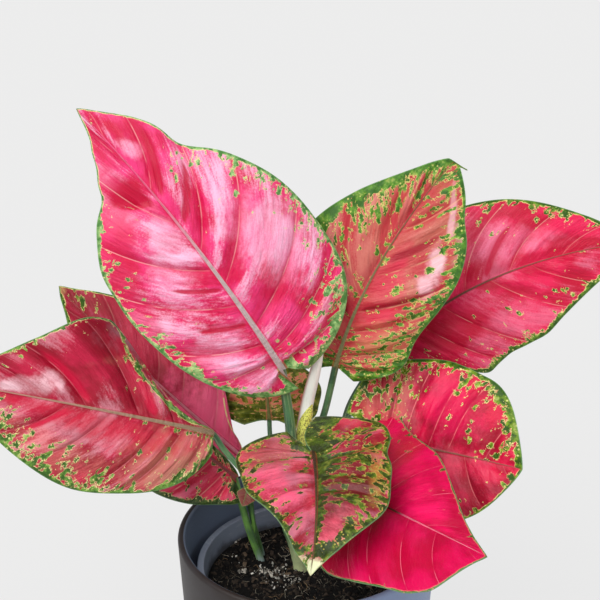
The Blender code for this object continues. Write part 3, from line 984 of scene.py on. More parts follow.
@dataclass(frozen=True)
class Leaf:
    """A blade's course in space, its outline, its bends and its finish, as in the frame's source.

    Pairs and widths are for the left and the right half, and angles are in degrees. faces is the way the
    blade looks. left and right are the half widths at five stations, lobes how far each lobe lies behind
    the base, and sinus where the margin starts on it. wave is the margin's swell, how many waves it has
    and where they start. hook moves the tip, from hook_start on, and drip narrows it.
    """

    node: str
    slot: str
    finish: LeafFinish
    base: Point
    middle: Point
    tip: Point
    faces: Point
    left: tuple[float, ...]
    right: tuple[float, ...]
    lobes: Pair
    stalk: tuple[Point, ...]
    stalk_radius: float = 0.0018
    # stalk_shade is painted shade on a stalk that lies in shade behind the others.
    stalk_shade: float = 0.0
    fold: Pair = (8.0, 8.0)
    curl: Pair = (-25.0, -25.0)
    tip_curl: Pair = (-25.0, -25.0)
    wave: Point = (0.0015, 2.0, 0.0)
    hook: Point = (0.0, 0.0, 0.0)
    ripples: tuple[Ripple, ...] = ()
    sinus: Pair = (0.012, 0.012)
    hook_start: float = 0.93
    drip: float = 0.25
    forward: float = 1.35
    rib: float = 0.001
    quilt: float = 0.002
    groove: float = 0.0007
    pleat: float = 0.0005
    creases: tuple[Crease, ...] = ()
    fine: float = 1.0
    rows: int = 20
    columns: int = 34


class Blade:
    """Builds one blade: a fine grid along its veins, with its relief, an underside and an edge."""

    def __init__(self, leaf: Leaf, seed: int) -> None:
        """Works out the midrib and the widest half.

        Args:
            leaf: what the blade is like.
            seed: what its random draws start from.
        """
        self.leaf = leaf
        self.seed = seed
        self.base, self.tip = np.array(leaf.base), np.array(leaf.tip)
        self.pull = np.array(leaf.middle) * 2.0 - (self.base + self.tip) / 2.0
        steps = self.midrib(np.linspace(0.0, 1.0, MIDRIB_STEPS + 1))
        self.length = float(np.linalg.norm(np.diff(steps, axis=0), axis=1).sum())
        self.widest = max(leaf.left + leaf.right)

    def midrib(self, share: Array) -> Array:
        """The midrib's points.

        Args:
            share: the places, as shares of its length.

        Returns:
            The points, one for each share.
        """
        share = np.asarray(share, float)[..., None]
        rest = 1.0 - share
        return self.base * rest * rest + self.pull * 2.0 * rest * share + self.tip * share * share

    def frames(self, share: Array) -> tuple[Array, Array, Array]:
        """How the blade lies along its midrib.

        Args:
            share: the places, as shares of its length.

        Returns:
            The midrib's headings, the ways the blade looks, and the ways to its right side.
        """
        share = np.asarray(share, float)[..., None]
        ahead = unit((self.pull - self.base) * (1.0 - share) + (self.tip - self.pull) * share)
        looks = np.array(self.leaf.faces) - ahead * (ahead @ np.array(self.leaf.faces))[..., None]
        looks = unit(looks)
        return ahead, looks, np.cross(ahead, looks)

    def half_width(self, widths: tuple[float, ...], share: Array) -> Array:
        """The half widths, on a smooth curve through the given ones.

        Args:
            widths: the half widths at the stations.
            share: the places, from the back of the lobes (0) to the tip (1).

        Returns:
            The half width at each place.
        """

        def oval(place: Array) -> Array:
            """An egg-shaped outline, round at the lobes and pointed at the tip."""
            return place**OVAL_LOBE_POWER * (1.0 - place) ** OVAL_TIP_POWER

        ratios = np.array(widths) / oval(FIRST_STATION + STATION_STEP * np.arange(len(widths)))
        ratios = np.concatenate((ratios[:1], ratios, ratios[-1:]))
        place = np.clip((share - FIRST_STATION) / STATION_STEP, 0.0, len(widths) - 1.0)
        index = np.minimum(place.astype(int), len(widths) - 2)
        a, b, c, d = (ratios[index + step] for step in range(4))
        narrowed = 1.0 - self.leaf.drip * smoothstep(DRIP_START, 1.0, share)
        return oval(share) * spline(a, b, c, d, place - index) * narrowed

    def margin_share(self, along: Array, sides: Array) -> Array:
        """How far up the outline a row meets the margin, from the back of the lobe (0) to the tip (1)."""
        sinus = np.array(self.leaf.sinus)[sides]
        return sinus + (1.0 - sinus) * (1.0 - (1.0 - along**VEIN_END_POWER) ** self.leaf.forward)

    def flat(self, along: Array, across: Array) -> tuple[Array, Array]:
        """Where points lie on the flat blade.

        Args:
            along: the places along the margin, from 0 to 1.
            across: the places from the left margin (-1) to the right one (1).

        Returns:
            How far they lie ahead of the base, and how far off the midrib.
        """
        leaf = self.leaf
        sides = (across > 0.0).astype(int)
        out = np.abs(across)
        share = self.margin_share(along, sides)
        lobe = np.array(leaf.lobes)[sides]
        widths = np.where(sides == 1, self.half_width(leaf.right, share), self.half_width(leaf.left, share))
        for ripple in leaf.ripples:
            widths = widths * (1.0 - ripple.pull * ripple.swell(share, sides))
        start = self.length * along**VEIN_START_POWER
        end = share * (self.length + lobe) - lobe
        near = 2.0 * out * (1.0 - out)
        x = start + (end - start) * (near * VEIN_BEND[0] + out * out)
        return x, widths * (near * VEIN_BEND[1] + out * out)

    def shape(self, along: Array, across: Array, count: Array) -> dict[str, Array]:
        """The top surface and what the finish reads there.

        Args:
            along: the place along the margin from the base (0) to the tip (1), one for each point.
            across: the place from the left margin (-1) over the midrib (0) to the right one (1).
            count: how many pairs of side veins lie below the place.

        Returns:
            points, looks (the way the surface looks) and the values that the finish reads, by name.
        """
        leaf = self.leaf
        sides = (across > 0.0).astype(int)
        out = np.abs(across)
        x, reach = self.flat(along, across)
        share = np.clip(x / self.length, 0.0, 1.0)
        ahead, looks, right = self.frames(share)
        mix = smoothstep(0.0, CURL_BLEND, share)
        breadth = reach / self.widest
        curl = np.array(leaf.curl)[sides] * (1.0 - mix) + np.array(leaf.tip_curl)[sides] * mix
        bend = np.radians(curl) * breadth
        slant = np.radians(np.array(leaf.fold)[sides]) + bend / 2.0
        chord = np.sinc(bend / 2.0 / math.pi)
        sideways = np.copysign(reach * np.cos(slant) * chord, across)
        points = self.midrib(share) + ahead * np.minimum(0.0, x)[..., None]
        points = points + right * sideways[..., None] + looks * (reach * np.sin(slant) * chord)[..., None]
        slope = slant + bend / 2.0
        normal = looks * np.cos(slope)[..., None] - right * (np.sign(across) * np.sin(slope))[..., None]
        y = reach * np.sign(across)
        vein, bulge, depth = self.veins(count, across, x, y)
        pleats = self.pleats(count, across)
        fold = np.zeros(x.shape)
        body = smoothstep(0.0, BODY_REACH, reach)
        rib = reach / (RIB_TIP_WIDTH + leaf.rib * (1.0 - share) ** RIB_TAPER)
        swell, waves, phase = leaf.wave
        turn = 2.0 * math.pi * (waves * along + phase) + RIGHT_WAVE_LAG * sides
        relief = swell * breadth * breadth * np.sin(turn)
        for ripple in leaf.ripples:
            swell = ripple.swell(self.margin_share(along, sides), sides)
            relief = relief + ripple.lift * out**RIPPLE_RISE * swell
            over = ripple.slide * out**RIPPLE_RISE + ripple.bow * 4.0 * out * (1.0 - out)
            points = points - right * (over * swell * np.sign(across))[..., None]
        puffed = leaf.quilt * bulge * np.sin(math.pi * out**QUILT_SHOULDER) + self.uneven(x, y)
        puffed = puffed - leaf.groove * depth * np.exp(-((vein / GROOVE_WIDTH) ** 2)) * (1.0 - out**4)
        puffed = puffed + leaf.pleat * pleats * (1.0 - out**3)
        # the creases dip the surface, and fold keeps where they lie for the painted shade in the finish.
        for crease in leaf.creases:
            dip = crease.dip(count, out, sides)
            puffed = puffed - crease.depth * dip
            fold = np.maximum(fold, dip * body)
        # crest: how far a point lies on a swelling or pleat, which the finish paints lighter as a highlight.
        crest = np.clip(CREST_PUFF * bulge + CREST + CREST_PLEAT * pleats, 0.0, 1.0)
        ditch = RIB_DITCH * np.exp(-(((rib - RIB_DITCH_AT) / RIB_DITCH_WIDTH) ** 2))
        cord = RIB_TOP * np.exp(-(rib**4)) - ditch
        relief = relief + leaf.fine * (puffed * body + cord * (1.0 - share))
        points = points + normal * relief[..., None]
        points = points + np.array(leaf.hook) * (smoothstep(leaf.hook_start, 1.0, share) * share)[..., None]
        flow = np.stack((y, along * self.length, np.full(x.shape, self.seed * SEED_STEP)), -1)
        plan = np.stack((y, x, np.full(x.shape, self.seed * SEED_STEP)), -1)
        return {"points": points, "looks": normal, "x": x, "y": y, "flow": flow, "plan": plan, "vein": vein,
                "crest": crest, "fold": fold, "rib": rib, "beside": reach, "along": share, "across": across}

    def veins(self, count: Array, across: Array, x: Array, y: Array) -> tuple[Array, Array, Array]:
        """The side veins and the swellings between them.

        Args:
            count: how many side veins lie below the place.
            across: the place across, from -1 to 1.
            x: how far ahead of the base it lies.
            y: how far off the midrib.

        Returns:
            How far each point is from the nearest side vein, how far the blade puffs up there, and how
            deep that vein lies.
        """
        sides = (across > 0.0).astype(int)
        count = count + RIGHT_VEIN_LAG * sides
        nearest = np.round(count)
        flat = np.stack((x, y), -1)
        step = np.gradient(flat, axis=0) / np.maximum(np.gradient(count, axis=0), 1e-9)[..., None]
        course = unit(np.gradient(flat, axis=1))
        spacing = np.abs(step[..., 0] * course[..., 1] - step[..., 1] * course[..., 0])
        gap = np.abs(count - nearest) * spacing
        real = (nearest > 0.5) & (nearest < VEIN_PAIRS + RIGHT_VEIN_LAG * sides - 0.25)
        draw = np.random.default_rng(self.seed)
        depths = draw.uniform(*VEIN_DEPTHS, (2, VEIN_PAIRS + 2))
        puffs = draw.uniform(*PUFFS, (2, VEIN_PAIRS + 2))
        below = np.floor(count)
        rise = np.sin(math.pi * count) ** 2
        fold = 1.0 - HALF_VEIN * np.exp(-(((count - below - 0.5) / HALF_VEIN_WIDTH) ** 2))
        bulge = rise * fold * puffs[sides, below.astype(int)]
        return np.where(real, gap, FAR_FROM_VEINS), bulge, depths[sides, nearest.astype(int)]

    def lumps(self, x: Array, y: Array, layer: float) -> Array:
        """Smooth random heights over a plane, from about -1 to 1, different for each leaf and layer."""
        layer = self.seed * LUMP_STEP + layer
        return np.vectorize(lambda a, b: noise.noise(Vector((a, b, layer))))(x, y)

    def uneven(self, x: Array, y: Array) -> Array:
        """A slight unevenness of the whole blade, in metres."""
        return UNEVEN * self.lumps(x * UNEVEN_GRAIN, y * UNEVEN_GRAIN, 0.0)

    def pleats(self, count: Array, across: Array) -> Array:
        """Fine irregular folds along the side veins.

        Args:
            count: how many side veins lie below the place.
            across: the place across, from -1 to 1.

        Returns:
            Their heights, from about -1 to 1.
        """
        apart = PLEATS_APART * (across > 0.0)
        run = np.abs(across) * PLEAT_RUN
        broad = self.lumps(count * PLEATS, run + apart, PLEAT_LAYERS[0])
        fine = self.lumps(count * PLEATS * FINE_PLEATS, run * FINE_PLEAT_RUN + apart, PLEAT_LAYERS[1])
        return np.clip(PLEAT_SHARES[0] * broad + PLEAT_SHARES[1] * fine, -PLEAT_LIMIT, PLEAT_LIMIT)

    def edge_distance(self, x: Array, y: Array) -> Array:
        """How far each point of the flat blade is from its margin.

        Args:
            x: how far ahead of the base it lies.
            y: how far off the midrib.

        Returns:
            The distances, in metres.
        """
        rim = np.concatenate((np.stack((x[:, 0], y[:, 0]), -1)[::-1], np.stack((x[0], y[0]), -1),
                              np.stack((x[:, -1], y[:, -1]), -1)))
        start, run = rim[:-1], np.diff(rim, axis=0)
        size = np.maximum((run**2).sum(-1), 1e-14)
        spots = np.stack((x.ravel(), y.ravel()), -1)
        best = np.full(len(spots), 1.0)
        for corner, way, square in zip(start, run, size):
            share = np.clip(((spots - corner) @ way) / square, 0.0, 1.0)
            best = np.minimum(best, ((spots - corner - share[:, None] * way) ** 2).sum(-1))
        return np.sqrt(best).reshape(x.shape)

    def grid(self) -> tuple[Array, Array, Array]:
        """The places of the grid's rows and columns, closer together at the veins and the midrib.

        Returns:
            along and across for each point of the grid, and how many pairs of veins lie below it. The
            veins are not quite evenly spaced.
        """
        leaf = self.leaf
        even = np.linspace(0.0, 1.0, leaf.rows + 1)[:-1]
        crowded = even - CROWDING * np.sin(4.0 * math.pi * even) / (4.0 * math.pi)
        count = np.concatenate([pair + crowded for pair in range(VEIN_PAIRS)] + [[float(VEIN_PAIRS)]])
        ends = np.sin(math.pi * count / VEIN_PAIRS)
        rows = count + VEIN_WANDER * np.sin(WANDER_RATE * count + WANDER_TURN * self.seed) * ends
        half = np.linspace(0.0, 1.0, leaf.columns + 1)[1:]
        half = half * (CENTRE_CROWDING[0] + CENTRE_CROWDING[1] * half)
        columns = np.concatenate((-half[::-1], [0.0], half))
        along, across = np.meshgrid(rows / VEIN_PAIRS, columns, indexing="ij")
        return along, across, np.repeat(count[:, None], len(columns), axis=1)

    def build(self) -> None:
        """Builds the blade and puts it in place of the frame's node."""
        leaf = self.leaf
        along, across, vein_count = self.grid()
        top = self.shape(along, across, vein_count)
        top["edge"] = self.edge_distance(top["x"], top["y"])
        rows, columns = along.shape
        share = top["along"]
        keel = leaf.fine * RIB_KEEL * np.exp(-((top["rib"] / KEEL_WIDTH) ** 2)) * (1.0 - share**2)
        ridge = RIDGE_DEPTH * np.exp(-((top["vein"] / GROOVE_WIDTH) ** 2)) * (1.0 - np.abs(across) ** 3)
        ridge = leaf.fine * ridge * smoothstep(0.0, BODY_REACH, top["beside"])
        under = top["points"] - top["looks"] * (MARGIN_THICKNESS + keel + ridge)[..., None]
        points = np.concatenate((top["points"].reshape(-1, 3), under.reshape(-1, 3)))
        count = rows * columns
        upper = grid_faces(rows, columns)
        lower = [face[::-1] for face in grid_faces(rows, columns, count)]
        ring = list(range(columns)) + [row * columns + columns - 1 for row in range(1, rows)]
        ring += list(range(count - 2, count - columns - 1, -1))
        ring += [row * columns for row in range(rows - 2, 0, -1)]
        rim = [(a, a + count, b + count, b) for a, b in zip(ring, ring[1:] + ring[:1])]
        names = ("edge", "vein", "crest", "fold", "rib", "beside", "along", "across")
        held = {name: np.tile(top[name].ravel(), 2) for name in names}
        held.update({name: np.tile(top[name].reshape(-1, 3), (2, 1)) for name in ("flow", "plan")})
        slots = [0] * len(upper) + [1] * len(lower) + [0] * len(rim)
        name = leaf.node.replace("blade", "leaf")
        finishes = [leaf.finish.build(name + "_top"), UndersideFinish().build(name + "_under")]
        piece = Form(points, upper + lower + rim, held, slots).make(name, finishes)
        settle(piece, leaf.slot, leaf.node)


def sweep(path: Array, radii: Array, sides: int, seam: float = 0.0, start: float = 0.0,
          across: Point = (0.0, -1.0, 0.0)) -> Form:
    """A closed round tube along a path.

    Args:
        path: the points of its centreline.
        radii: its radius at each of them.
        sides: how many sides it has.
        seam: how far its radius falls in one turn round, as a share, for a rolled leaf.
        start: where the turn starts, in degrees.
        across: the direction that its front looks, roughly.

    Returns:
        The tube, which holds turn (0 to 1 round it).
    """
    ahead = unit(np.gradient(path, axis=0))
    out = unit(np.cross(ahead, np.array(across)))
    front = np.cross(ahead, out)
    turns = np.arange(sides) / sides
    angles = 2.0 * math.pi * turns + math.radians(start)
    shrink = 1.0 - seam * turns
    ring = (out[:, None] * (np.cos(angles) * shrink)[None, :, None]
            + front[:, None] * (np.sin(angles) * shrink)[None, :, None])
    points = path[:, None] + ring * np.asarray(radii)[:, None, None]
    count = len(path)
    faces = [face[::-1] for face in grid_faces(count, sides, 0, True)]
    low, high = count * sides, count * sides + 1
    last = (count - 1) * sides
    for side in range(sides):
        after = (side + 1) % sides
        faces.append((low, side, after))
        faces.append((high, last + after, last + side))
    points = np.concatenate((points.reshape(-1, 3), path[:1], path[-1:]))
    return Form(points, faces, {"turn": np.concatenate((np.tile(turns, count), [0.5, 0.5]))})


def turned(profile: Array, steps: int, values: Array) -> Form:
    """A closed shape turned about Z.

    Args:
        profile: the (radius, height) points, from the axis inside, over the top and down to the axis.
        steps: how many steps it has round.
        values: what the finish reads at each point of the profile, under the name wall.

    Returns:
        The turned shape.
    """
    angles = 2.0 * math.pi * np.arange(steps) / steps
    radius, height = profile[:, 0], profile[:, 1]
    points = np.stack((radius[:, None] * np.cos(angles), radius[:, None] * np.sin(angles),
                       np.repeat(height[:, None], steps, axis=1)), -1)
    faces = [face[::-1] for face in grid_faces(len(profile), steps, 0, True)]
    return Form(points.reshape(-1, 3), faces, {"wall": np.repeat(values, steps)})


def arc(centre: Pair, radius: float, start: float, end: float, count: int) -> list[Pair]:
    """Points of a profile's round stretch, with angles in degrees from straight out."""
    angles = np.radians(np.linspace(start, end, count))
    return [(centre[0] + radius * math.cos(a), centre[1] + radius * math.sin(a)) for a in angles]


def between(start: Pair, end: Pair, count: int) -> list[Pair]:
    """Points on a straight stretch of a profile, without its ends."""
    shares = np.linspace(0.0, 1.0, count + 2)[1:-1]
    return [(start[0] + (end[0] - start[0]) * s, start[1] + (end[1] - start[1]) * s) for s in shares]


@dataclass
class CoverPot:
    """The outer pot: a tapered wall with a thick round rim and a rounded foot.

    The coating changes from the inside's to the outside's coat_back points before the rim's end, over
    coat_blend points, so the lighter inside coating runs over the inner part of the rim's top, partly as
    a painted highlight along the rim.
    """

    wall: float = 0.004
    foot_round: float = 0.004
    floor: float = 0.005
    taper: float = 0.0065
    coat_back: int = 9
    coat_blend: float = 8.0
    steps: int = 144

    def build(self) -> None:
        """Turns the pot and puts it in place of the frame's node."""
        _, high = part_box("cover_pot")
        rim, top, half = high.x, high.z, self.wall / 2.0
        foot = rim - self.taper
        inner = (foot - self.wall, self.floor + self.wall)
        inside = arc((inner[0] - self.wall, inner[1]), self.wall, -90.0, 0.0, 6)
        over = arc((rim - half, top - half), half, 180.0, 0.0, 13)
        under = arc((foot - self.foot_round, self.foot_round), self.foot_round, 0.0, -90.0, 7)
        profile = [(0.0, self.floor)] + inside + between(inside[-1], over[0], 10) + over
        split = len(profile) - self.coat_back
        profile += between(over[-1], under[0], 10) + under + [(0.0, 0.0)]
        values = np.clip((np.arange(len(profile)) - split) / self.coat_blend + 0.5, 0.0, 1.0)
        form = turned(np.array(profile), self.steps, values)
        piece = form.make("cover_pot_glazed", [CoverPotFinish().build("cover_pot_coating")])
        settle(piece, "cover_pot", "cover_pot")


@dataclass
class NurseryPot:
    """The inner pot: a thin cup with its lip turned down outside, and drain holes in its floor."""

    lift: float = 0.0053
    foot_radius: float = 0.044
    wall: float = 0.0012
    lip: float = 0.0024
    lip_drop: float = 0.01
    edge: float = 0.0005
    holes: int = 6
    hole_radius: float = 0.004
    hole_circle: float = 0.029
    steps: int = 144

    def build(self) -> None:
        """Turns the pot, drills its floor and puts it in place of the frame's node."""
        _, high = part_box("nursery_pot")
        rim, top, wall, edge = high.x, high.z, self.wall, self.edge
        mouth = rim - self.lip - wall
        lip_inner, lip_foot, under = rim - wall, top - self.lip_drop, top - wall
        floor = self.lift + wall
        foot = self.foot_radius
        inside = [(0.0, floor), (foot - wall - edge, floor), (foot - wall, floor + edge)]
        profile = inside + between(inside[-1], (mouth, top - edge), 12)
        profile += arc((mouth + edge, top - edge), edge, 180.0, 90.0, 5)
        profile += arc((rim - edge, top - edge), edge, 90.0, 0.0, 5)
        profile += between((rim, top - edge), (rim, lip_foot), 3)
        profile += arc((rim - edge, lip_foot + edge), edge, 0.0, -90.0, 4)
        profile += [(lip_inner, lip_foot), (lip_inner, under), (rim - self.lip, under)]
        profile += between((rim - self.lip, under), (foot, self.lift), 8)
        profile += [(foot, self.lift + edge), (foot - edge, self.lift), (0.0, self.lift)]
        form = turned(np.array(profile), self.steps, np.zeros(len(profile)))
        piece = form.make("nursery_pot_cup", [PlasticFinish().build("nursery_pot_plastic")])
        self.drill(piece)
        settle(piece, "nursery_pot", "nursery_pot")

    def drill(self, piece: Object) -> None:
        """Cuts the drain holes through the floor.

        Args:
            piece: the pot.
        """
        shape = bmesh.new()
        for hole in range(self.holes):
            turn = 2.0 * math.pi * hole / self.holes
            spot = (self.hole_circle * math.cos(turn), self.hole_circle * math.sin(turn), self.lift)
            bmesh.ops.create_cone(shape, cap_ends=True, segments=32, radius1=self.hole_radius,
                                  radius2=self.hole_radius, depth=4.0 * self.wall,
                                  matrix=Matrix.Translation(spot))
        mesh = bpy.data.meshes.new("drain_drills")
        shape.to_mesh(mesh)
        shape.free()
        drills = bpy.data.objects.new("drain_drills", mesh)
        bpy.context.scene.collection.objects.link(drills)
        cut = piece.modifiers.new("drain", "BOOLEAN")
        cut.operation = "DIFFERENCE"
        cut.solver = "EXACT"
        cut.object = drills
        apply_modifiers(piece)
        bpy.data.objects.remove(drills)


def apply_modifiers(piece: Object) -> None:
    """Makes what the object's modifiers do its own mesh.

    Args:
        piece: the object.
    """
    bpy.context.view_layer.update()
    shown = piece.evaluated_get(bpy.context.evaluated_depsgraph_get())
    old = piece.data
    piece.data = bpy.data.meshes.new_from_object(shown)
    piece.modifiers.clear()
    bpy.data.meshes.remove(old)


@dataclass(frozen=True)
class Tube:
    """One cane, stalk or sheath: its centreline, its radius along it, and its tone for the finish."""

    path: Array
    radii: Array
    sheath: float = 0.0
    shaded: float = 0.0


@dataclass
class Shoot:
    """A cane and the stalks on it, grown together as one body.

    The points of the cane and of the new leaf's sheath have the radius as their fourth number. Each stalk
    runs on under the blade's midrib, for the share tuck of its length.
    """

    node: str
    cane: tuple[Thick, ...]
    leaves: tuple[str, ...]
    sheath: tuple[Thick, ...] = ()
    swell: float = 0.6
    finish: StalkFinish = StalkFinish()
    swell_share: float = 0.45
    per_span: int = 14
    sides: int = 24
    grid: float = 0.00042
    evening: float = 0.5
    evening_rounds: int = 5
    ring_height: float = 0.00022
    ring_gap: float = 0.011
    ring_width: float = 0.0007
    tuck: float = 0.08
    tuck_depth: float = 0.0018
    tuck_radius: float = 0.0007
    drop: float = 0.0022

    def build(self, leaves: dict[str, Leaf]) -> None:
        """Fuses the tubes and puts the body in place of the frame's node.

        Args:
            leaves: all the leaves, by node.
        """
        tubes = [self.cane_tube()]
        tubes += [self.stalk_tube(leaves[name]) for name in self.leaves]
        if self.sheath:
            tubes.append(self.sheath_tube())
        form = joined([sweep(tube.path, tube.radii, self.sides) for tube in tubes])
        piece = form.make(self.node + "_stalks", [])
        fuse = piece.modifiers.new("grown_together", "REMESH")
        fuse.mode = "VOXEL"
        fuse.voxel_size = self.grid
        even = piece.modifiers.new("even", "SMOOTH")
        even.factor = self.evening
        even.iterations = self.evening_rounds
        apply_modifiers(piece)
        self.mark(piece, tubes)
        piece.data.materials.append(self.finish.build(self.node + "_skin"))
        piece.data.shade_smooth()
        settle(piece, "stalk", self.node)

    def cane_tube(self) -> Tube:
        """The cane, with slight rings where leaves have been.

        Returns:
            The tube.
        """
        path = smooth_path(list(self.cane), self.per_span)
        metres = np.concatenate(([0.0], np.linalg.norm(np.diff(path[:, :3], axis=0), axis=1).cumsum()))
        beyond = metres % self.ring_gap - self.ring_gap / 2.0
        rings = self.ring_height * np.exp(-((beyond / self.ring_width) ** 2))
        return Tube(path[:, :3], path[:, 3] + rings)

    def stalk_tube(self, leaf: Leaf) -> Tube:
        """A leaf's stalk, with a sheath that swells its foot, running on into the blade's midrib.

        Args:
            leaf: the leaf.

        Returns:
            The tube.
        """
        blade = Blade(leaf, 0)
        starts, looks, _ = blade.frames(np.array([0.0, self.tuck]))
        base, inner = blade.midrib(np.array([0.0, self.tuck]))
        radius = leaf.stalk_radius
        arrive = unit(base - np.array(leaf.stalk[-1]))
        drop = self.drop + 0.5 * radius * math.sqrt(max(0.0, 1.0 - float(arrive @ looks[0]) ** 2))
        under = base + starts[0] * radius * 0.4 - looks[0] * drop
        inside = inner - looks[1] * self.tuck_depth
        path = smooth_path([*leaf.stalk, tuple(under), tuple(inside)], self.per_span)
        share = np.linspace(0.0, 1.0, len(path))
        swells = 1.0 + self.swell * (1.0 - smoothstep(0.0, self.swell_share, share))
        last = 1.0 / (len(leaf.stalk) + 1)
        fade = 1.0 - (1.0 - self.tuck_radius / radius) * smoothstep(1.0 - last, 1.0, share)
        return Tube(path, radius * swells * fade, 0.0, leaf.stalk_shade)

    def sheath_tube(self) -> Tube:
        """The sheath round the new leaf's foot, with its mouth cut slantwise."""
        path = smooth_path(list(self.sheath), self.per_span)
        return Tube(path[:, :3], path[:, 3], 1.0)

    def mark(self, piece: Object, tubes: list[Tube]) -> None:
        """Holds at each point its place in the skin of the nearest tube, for the finish.

        Args:
            piece: the fused body.
            tubes: what it was fused from.
        """
        tree = KDTree(sum(len(tube.path) for tube in tubes))
        spots, fronts, outs, metres, tones = [], [], [], [], []
        for number, tube in enumerate(tubes):
            ahead = unit(np.gradient(tube.path, axis=0))
            out = unit(np.cross(ahead, np.array((0.0, -1.0, 0.0))))
            steps = np.linalg.norm(np.diff(tube.path, axis=0), axis=1)
            spots.append(tube.path)
            outs.append(out)
            fronts.append(np.cross(ahead, out))
            metres.append(np.concatenate(([0.0], steps.cumsum())) + number)
            tones.append(np.tile((tube.sheath, tube.shaded), (len(tube.path), 1)))
        centres, out, front = np.concatenate(spots), np.concatenate(outs), np.concatenate(fronts)
        length, tone = np.concatenate(metres), np.concatenate(tones)
        for index, centre in enumerate(centres):
            tree.insert(centre, index)
        tree.balance()
        places = np.array([vert.co[:] for vert in piece.data.vertices])
        near = np.array([tree.find(place)[1] for place in places])
        away = places - centres[near]
        skin = np.stack(((away * out[near]).sum(-1), (away * front[near]).sum(-1), length[near]), -1)
        hold(piece.data, "skin", skin)
        hold(piece.data, "sheath", tone[near, 0])
        hold(piece.data, "shaded", tone[near, 1])


@dataclass
class NewLeaf:
    """The furled leaf: a roll with a seam where its edge lies on the turn below, tapering to a point."""

    path: tuple[Point, ...]
    radius: float = 0.0035
    step: float = 0.22
    taper: float = 4.0
    seam: float = 200.0
    lift: float = 0.0006
    point: float = 0.0002
    per_span: int = 24
    sides: int = 48

    def build(self) -> None:
        """Rolls the leaf and puts it in place of the frame's node."""
        path = smooth_path(list(self.path), self.per_span)
        path = path + unit(path[1] - path[0]) * self.lift
        share = np.linspace(0.0, 1.0, len(path))
        radii = self.radius * (1.0 - share**self.taper) + self.point
        form = sweep(path, radii, self.sides, seam=self.step, start=self.seam)
        piece = form.make("new_leaf_roll", [NewLeafFinish().build("new_leaf_cream")])
        settle(piece, "new_leaf", "new_leaf")


@dataclass
class Chunk:
    """A small angular piece, as points and faces round its own centre."""

    points: Array
    faces: list[tuple[int, ...]]

    @classmethod
    def hull(cls, seed: int, corners: int) -> "Chunk":
        """The hull of a few points scattered over a ball.

        Args:
            seed: what the draws start from.
            corners: how many points there are.

        Returns:
            The chunk, about one in radius.
        """
        draw = random.Random(seed)
        shape = bmesh.new()
        for _ in range(corners):
            way = Vector([draw.gauss(0.0, 1.0) for _ in range(3)]).normalized()
            shape.verts.new(way * draw.uniform(0.75, 1.0))
        bmesh.ops.convex_hull(shape, input=shape.verts)
        loose = [vert for vert in shape.verts if not vert.link_faces]
        bmesh.ops.delete(shape, geom=loose, context="VERTS")
        bmesh.ops.recalc_face_normals(shape, faces=shape.faces)
        shape.verts.index_update()
        points = np.array([vert.co[:] for vert in shape.verts])
        faces = [tuple(vert.index for vert in face.verts) for face in shape.faces]
        shape.free()
        return cls(points, faces)

    def placed(self, spot: Point, size: Point, spin: Euler, tone: float) -> Form:
        """The chunk stretched, turned and moved.

        Args:
            spot: where its centre goes.
            size: its radius along each of its axes.
            spin: how it is turned.
            tone: its tone, from 0 to 1.

        Returns:
            The placed form.
        """
        turn = np.array(spin.to_matrix())
        points = (self.points * np.array(size)) @ turn.T + np.array(spot)
        return Form(points, self.faces, {"tone": np.full(len(points), tone)})


@dataclass(frozen=True)
class Heap:
    """A place on the soil where pale grains lie: its middle, how wide they are strewn, and how many."""

    x: float
    y: float
    spread: float
    count: int


